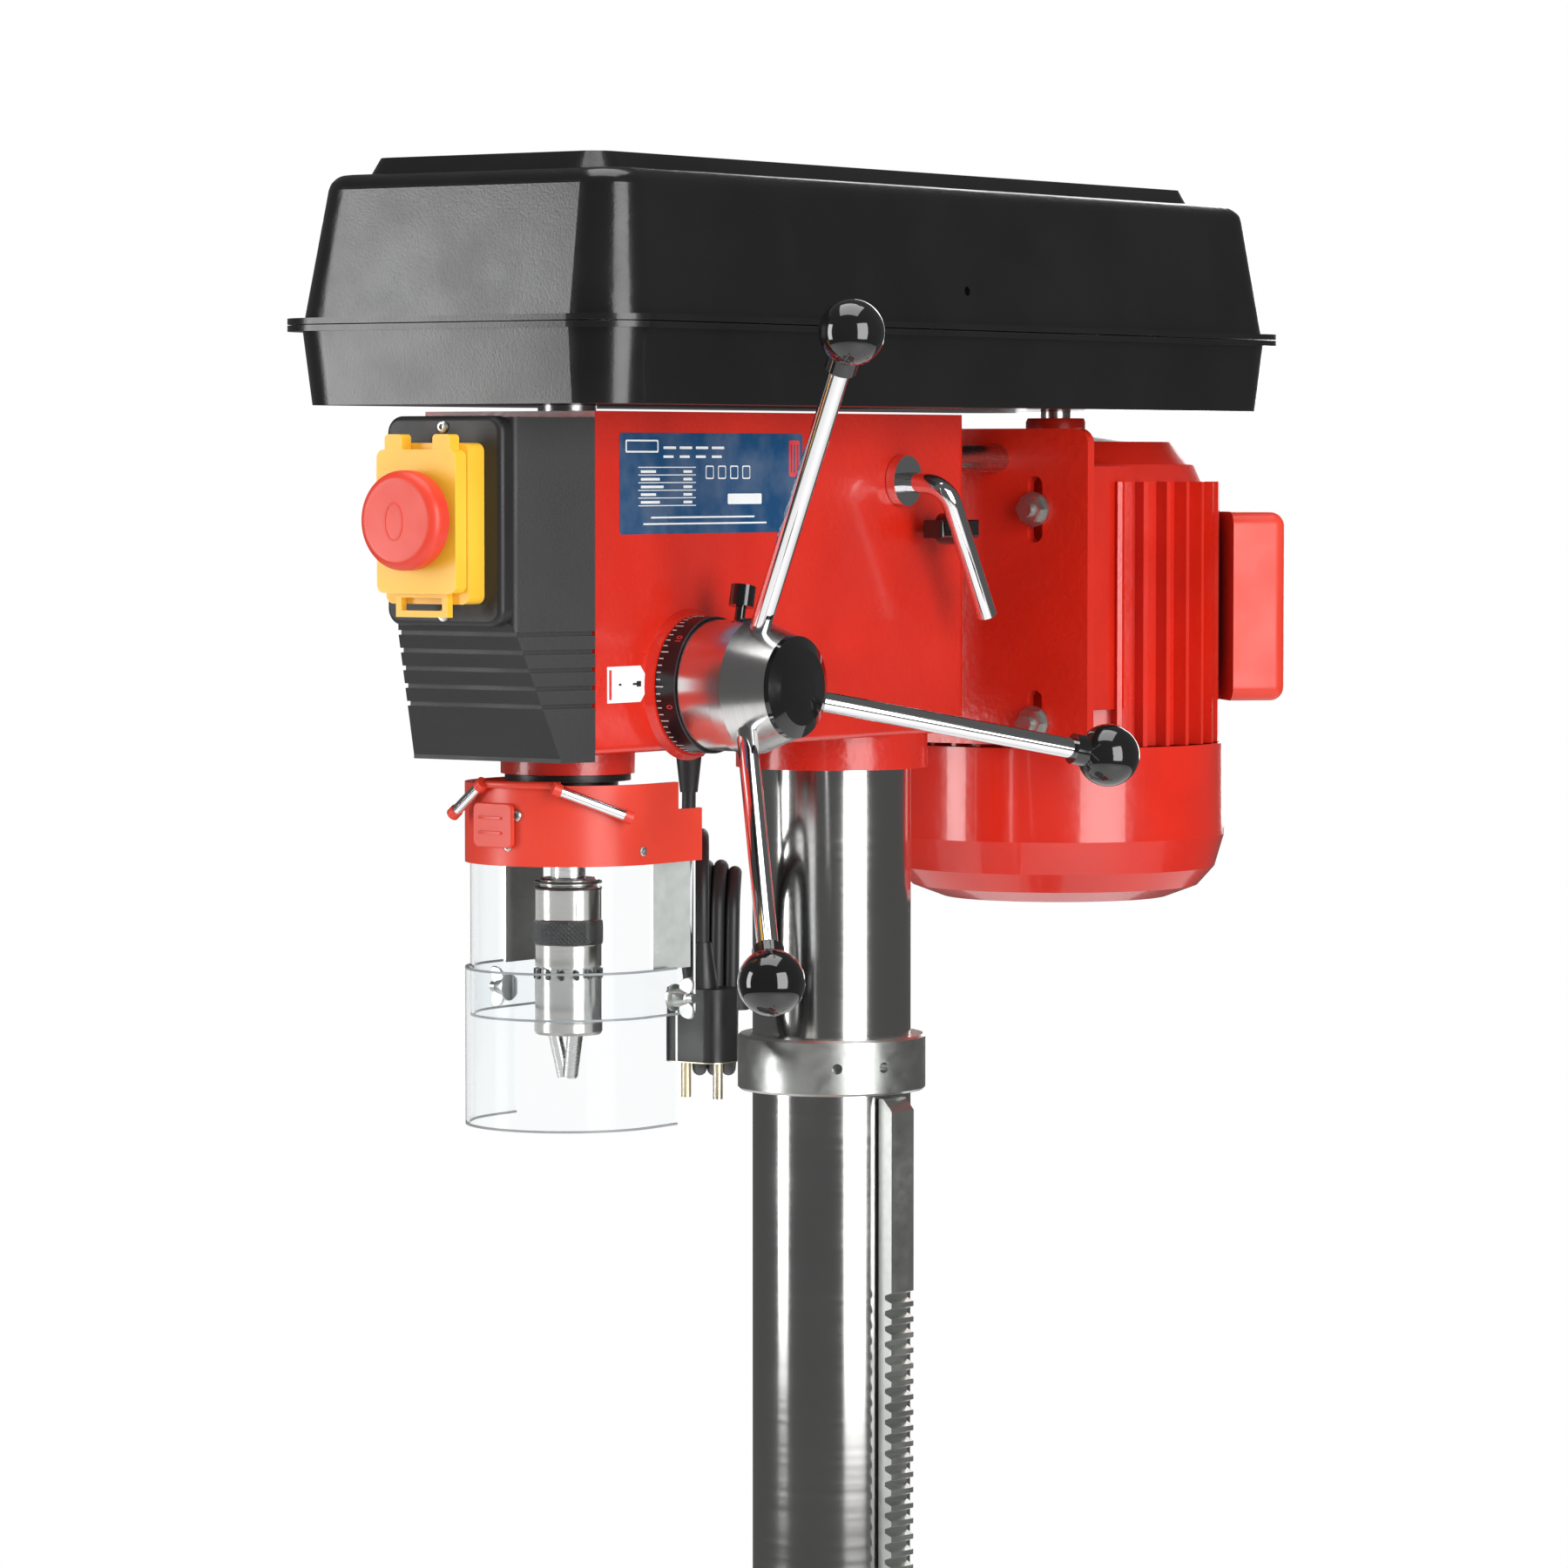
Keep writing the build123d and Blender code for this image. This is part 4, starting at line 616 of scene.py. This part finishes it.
def knurl(rows=40, columns=352):
    """Radius at (turn, height): base + depth x the smaller of two opposite helical triangle waves."""
    height, turn = np.meshgrid(np.linspace(0, 1, rows), np.arange(columns) / columns, indexing="ij")
    lean = (KNURL_HIGH - KNURL_LOW) / (2 * math.pi * KNURL_R) * KNURL_RIDGES
    wave = [2 * np.abs((turn * KNURL_RIDGES + sign * height * lean) % 1 - 0.5) for sign in (-1, 1)]
    fade = np.clip(8 * np.minimum(height, 1 - height), 0, 1)
    radius = KNURL_R + 0.45 * np.minimum(wave[0], wave[1]) * fade
    angle = 2 * math.pi * turn
    outer = np.stack([
        SPINDLE[0] + radius * np.cos(angle), SPINDLE[1] + radius * np.sin(angle),
        KNURL_LOW + height * (KNURL_HIGH - KNURL_LOW)], axis=-1)
    inner = outer[::-1].copy()
    shrink = ((KNURL_R - 0.6) / radius[::-1])[..., None]
    inner[..., :2] = np.array(SPINDLE) + (inner[..., :2] - SPINDLE) * shrink
    rings = np.concatenate([outer, inner[:1], inner[-1:], outer[:1]])
    return rings.reshape(-1, 3), grid_faces(len(rings), columns)


add_piece("chuck_knurl", "spindle", [knurl()], finishes["housing_steel"], smooth=20)
rings = [turned([(15.9, z), (16.2, z + 0.2), (16.2, z + 0.9), (15.9, z + 1.1)], (*SPINDLE, 0), (0, 0, 1), 64)
         for z in (1264.5, 1267.5)]
add_piece("chuck_rings", "spindle", rings, finishes["housing_steel"])
sleeve_low, sleeve_high = (np.array(corner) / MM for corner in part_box("chuck_sleeve"))
SLEEVE_R = (sleeve_high[0] - sleeve_low[0]) / 2
KEY_TEETH = 14
# Dark pads round the sleeve's top: painted shade where the gaps between the key teeth fall dark.
tooth_gap_shades = []
for number in range(KEY_TEETH):
    around = 2 * math.pi * (number + 0.5) / KEY_TEETH
    out = np.array([math.cos(around), math.sin(around), 0])
    spot = np.array([*SPINDLE, sleeve_high[2] - 2.6]) + (SLEEVE_R - 0.35) * out
    tooth_gap_shades.append(moulded(corner_outline(2.6, 5.0, 1.2, 4), [(1, 0), (1, 0.5), (0.85, 0.62)], spot,
                           (-out[1], out[0], 0), (0, 0, 1)))
add_piece("chuck_tooth_gap_shade", "chuck_sleeve", tooth_gap_shades, finishes["housing_steel"])
print("knurl:", KNURL_RIDGES, "ridges each way")

# %% [markdown]
# Printed things are thin cards. The rating label keeps a blue field with a plain table, blank boxes and a
# red tag, and says nothing; the pointer card shows where to read the depth dial. Each mark is a slab a
# twentieth of a millimetre thick over its card, and its colour is stored on its points, so that one ink
# material prints all.
# %% Labels
BLUE, WHITE = (0.004, 0.058, 0.16), (0.86, 0.87, 0.88)
PRINT_RED, BLACK = (0.70, 0.02, 0.02), (0.01, 0.01, 0.01)
LABEL_PLACE = np.array([50.05, -172.5, 1457.2])


def mark(centre, right, up, box, depth):
    """A slab over a card: box is (left, bottom, right, top) from the card's middle. One in the field's colour
    stands a little higher, so that it covers the slab it lies on."""
    left, bottom, far, top = box
    middle = np.asarray(centre, float) + unit(right) * (left + far) / 2 + unit(up) * (bottom + top) / 2
    outline = corner_outline(far - left, top - bottom, min(far - left, top - bottom) * 0.12, 3)
    return moulded(outline, [(1, 0), (1, depth)], middle, right, up)


def card(name, body, centre, right, up, outline, field, marks):
    """A card of one field colour with marks over it, in one piece."""
    base = moulded(outline, [(1, 0), (1, 0.15)], centre, right, up)
    shapes = [base] + [mark(centre, right, up, box, 0.2 + 0.06 * (colour == field)) for box, colour in marks]
    add_piece(name, body, shapes, printed, [field] + [colour for box, colour in marks])


label_marks = [
    ((-70, 14.5, -44, 20.5), WHITE), ((-69, 15.3, -45, 19.7), BLUE), ((63, 3, 72, 20.5), PRINT_RED),
]
label_marks += [((-40 + 13 * n, 16.2 - 4.2 * row, -30 + 13 * n - row * 2, 17.4 - 4.2 * row), WHITE)
                for row in range(2) for n in range(4)]
label_marks += [((-60, 7.4 - 3.6 * row, -14, 7.8 - 3.6 * row), WHITE) for row in range(6)]
label_marks += [((-58, 5.0 - 3.6 * row, -46 + 3 * (row % 3), 6.2 - 3.6 * row), WHITE) for row in range(5)]
label_marks += [((-24, 5.0 - 3.6 * row, -17, 6.2 - 3.6 * row), WHITE) for row in range(5)]
label_marks += [((-6 + 10 * n, 2, 0.5 + 10 * n, 8.4), WHITE) for n in range(4)]
label_marks += [((-5.4 + 10 * n, 2.6, -0.1 + 10 * n, 7.8), BLUE) for n in range(4)]
label_marks += [
    ((12, -10, 40, -5), WHITE), ((-50, -16.4, 34, -15.6), WHITE), ((-56, -19.4, 44, -18.6), WHITE),
]
label_marks += [((64.6 + 2.6 * n, 5, 65.6 + 2.6 * n, 18.5), BLUE) for n in range(3)]
card("rating_label", "frame", LABEL_PLACE, (0, 1, 0), (0, 0, 1), corner_outline(149, 47.5, 1.5), BLUE,
     label_marks)

pointer_outline = np.array([(-17, -8.5), (9, -8.5), (17, 0), (9, 8.5), (-17, 8.5)], float)
pointer_marks = [((-15.6, -7, -13.6, 7), PRINT_RED), ((-8, -0.5, -6, 0.5), BLACK), ((3, -0.5, 6, 0.5), BLACK),
                 ((6, -1.3, 9.5, 1.3), BLACK)]
card("dial_pointer", "frame", (50.05, -240, 1363.5), (0, 1, 0), (0, 0, 1), pointer_outline, WHITE,
     pointer_marks)
print("labels: marks", len(label_marks) + len(pointer_marks))

# %% [markdown]
# The depth dial is a black band with white ticks and red tens. A tick is a small slab turned to its place,
# and all of them go into one piece. The figures are text, turned into meshes and left flat, because a
# figure 4 mm wide leaves the rim by less than a tenth of a millimetre.
# %% Depth dial
HUB = np.array([0.0, -192.0, 1362.0])
DIAL_R = 32.42
TICKS = 60
TICK_START, FIGURE_X = 54.3, 61.4
LONG_TICK, SHORT_TICK = 4.2, 2.4
ZERO_TURN = 197
FIGURE_RED = (0.75, 0.03, 0.03)
dial_shapes, dial_inks = [], []
for number in range(TICKS):
    around = 2 * math.pi * number / TICKS
    out = np.array([0, math.cos(around), math.sin(around)])
    reach = LONG_TICK if number % 5 == 0 else SHORT_TICK
    spot = HUB + DIAL_R * out + np.array([TICK_START + reach / 2, 0, 0])
    dial_shapes.append(moulded(corner_outline(reach, 0.45, 0.1, 2), [(1, -0.1), (1, 0.12)], spot, (1, 0, 0),
                               np.cross(out, (1, 0, 0))))
    dial_inks.append(WHITE)
add_piece("dial_ticks", "dial", dial_shapes, printed, dial_inks)


def add_figure(text, around, colour, name):
    """A figure 3.4 mm high on the dial's rim, its place taken into its mesh."""
    curve = bpy.data.curves.new(name, "FONT")
    curve.body = text
    curve.size = 4.6 * MM
    curve.extrude = 0.06 * MM
    curve.align_x, curve.align_y = "CENTER", "CENTER"
    holder = bpy.data.objects.new(name, curve)
    scene.collection.objects.link(holder)
    mesh = bpy.data.meshes.new_from_object(holder.evaluated_get(bpy.context.evaluated_depsgraph_get()))
    bpy.data.objects.remove(holder)
    flat = np.empty(len(mesh.vertices) * 3)
    mesh.vertices.foreach_get("co", flat)
    flat = flat.reshape(-1, 3) / MM
    out = np.array([0, math.cos(around), math.sin(around)])
    right = np.cross(out, (1, 0, 0))
    rim = HUB + (DIAL_R + 0.06) * out + np.array([FIGURE_X, 0, 0])
    points = rim + flat[:, :1] * right + flat[:, 1:2] * np.array([-1.0, 0, 0]) + flat[:, 2:] * out
    mesh.vertices.foreach_set("co", (points * MM).ravel())
    ink_colour = np.tile([*colour, 1.0], (len(mesh.vertices), 1))
    mesh.color_attributes.new("ink", "FLOAT_COLOR", "POINT").data.foreach_set("color", ink_colour.ravel())
    mesh.materials.clear()
    mesh.materials.append(printed)
    mesh.update()
    made = bpy.data.objects.new(name, mesh)
    scene.collection.objects.link(made)
    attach(made, "dial")


for number in range(6):
    add_figure(str(10 * number), math.radians(ZERO_TURN - 60 * number), FIGURE_RED, f"dial_figure_{number}")
print("dial:", TICKS, "ticks")

# %% [markdown]
# Small things left: the switch plate's two screws, the oval on the stop button's face, the red collar round
# the motor's nose, and the tie that holds the coil of lead together.
# %% Small fittings
PLATE_FRONT = -316.0
add_piece("switch_plate_screws", "frame", [
    screw_head((0, PLATE_FRONT, z), (0, -1, 0), 3.0) for z in (1483.5, 1396.5)], finishes["zinc_steel"])
knob_low, knob_high = (np.array(corner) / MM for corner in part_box("stop_mushroom"))
knob_middle = (knob_low + knob_high) / 2
oval_middle = (knob_middle[0] - 1.5, knob_low[1] + 0.1, knob_middle[2] - 0.5)
add_piece("stop_button_oval", "mushroom", [
    bead(oval_middle, 5.0, 8.5, (1, 0, 0), (0, 0, 1), 0.45)], finishes["red_plastic"])

MOTOR_Y = 210
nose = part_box("motor_body")[1] / MM
add_piece("motor_nose_collar", "motor", [
    turned([(13.5, 0), (16, 0), (16, 8), (15, 10), (13.5, 10), (13.5, 0)], (0, MOTOR_Y, nose[2] - 0.5),
           (0, 0, 1), 40)], finishes["red_paint_iron"])

TIE_HEIGHT = 1203.0
tie_outline = corner_outline(33.5, 20.5, 6, 8)
tie_middle = cord_place([(-1.5, -27.4, TIE_HEIGHT)])[0]
tie_right = np.array([math.cos(CORD_TURN), math.sin(CORD_TURN), 0])
tie_back = np.cross((0, 0, 1), tie_right)
tie_flat = tie_outline[:, :1] * tie_right + tie_outline[:, 1:] * tie_back
tie_levels = [(1, -4), (1, 4), (0.93, 4), (0.93, -4), (1, -4)]
tie_points = tie_middle + np.stack([share * tie_flat + (0, 0, level) for share, level in tie_levels])
tie = add_piece("lead_tie", "frame", [
    (tie_points.reshape(-1, 3), grid_faces(5, len(tie_outline)))], finishes["cord_rubber"])
print("lead tie at", tie_middle.round(1))

# %% [markdown]
# The studio is plain: a pale floor and four large soft lights. The key stands to the operator's right and
# makes the long bright line down the column, a tall one on the left gives the case's front its grey sheen,
# and the case's long side faces a dark gap between them, so it stays near black. The background is white to
# the eye, and dimmer to surfaces, because gloss black would otherwise turn grey.
# %% Lights and floor
def add_light(name, place_at, target, size, power, colour=(1, 1, 1)):
    """A soft rectangular light at a place, aimed at a target."""
    data = bpy.data.lights.new(name, "AREA")
    data.shape = "RECTANGLE"
    data.size, data.size_y = size
    data.energy = power
    data.color = colour
    made = bpy.data.objects.new(name, data)
    scene.collection.objects.link(made)
    made.location = place_at
    made.rotation_euler = (Vector(target) - Vector(place_at)).to_track_quat("-Z", "Y").to_euler()
    return made


AIM = (0.0, -0.05, 1.35)
add_light("key_right", (2.05, -0.79, 1.60), AIM, (1.3, 1.9), 40)
add_light("fill_left", (-1.57, -1.86, 1.55), AIM, (0.7, 1.7), 24)
add_light("top_soft", (0.1, -0.3, 3.3), AIM, (1.8, 1.8), 30)
add_light("rear_soft", (-0.9, 2.6, 1.9), AIM, (1.2, 1.6), 22)

world = bpy.data.worlds.new("studio")
scene.world = world
world.use_nodes = True
tree = world.node_tree
tree.nodes.clear()
path = add_node(tree, "LightPath")
seen = add_node(tree, "Math", {
    0: path.outputs["Is Camera Ray"], 1: path.outputs["Is Transmission Ray"]}, operation="MAXIMUM")
other = add_node(tree, "Mix", {
    0: path.outputs["Is Glossy Ray"], 6: (0.52, 0.52, 0.52, 1), 7: (0.10, 0.10, 0.10, 1)}, data_type="RGBA")
shown = add_node(tree, "Mix", {0: seen.outputs[0], 6: other.outputs[2], 7: (1, 1, 1, 1)}, data_type="RGBA")
background = add_node(tree, "Background", {"Color": shown.outputs[2], "Strength": 1.0})
add_node(tree, "OutputWorld", {"Surface": background.outputs[0]})

floor_mesh = bpy.data.meshes.new("studio_floor")
floor_points, floor_quads = turned([(1, -0.6), (900, -0.6), (2600, -0.6)], (0, 0, 0), (0, 0, 1), 64)
floor_mesh.from_pydata((floor_points * MM).tolist(), [], floor_quads.tolist())
floor_mesh.flip_normals()
studio_floor = bpy.data.objects.new("studio_floor", floor_mesh)
scene.collection.objects.link(studio_floor)
material, tree, shader = new_finish("pale_floor", {"Specular IOR Level": 0.2})
tree.links.new(
    mixed(tree, place(tree, blotch, Scale=3.0, Low=0.0, High=1.0), (0.86, 0.86, 0.86), (0.82, 0.82, 0.82)),
    shader.inputs["Base Color"])
tree.links.new(place(tree, blotch, Scale=8.0, Low=0.5, High=0.7), shader.inputs["Roughness"])
floor_mesh.materials.append(material)
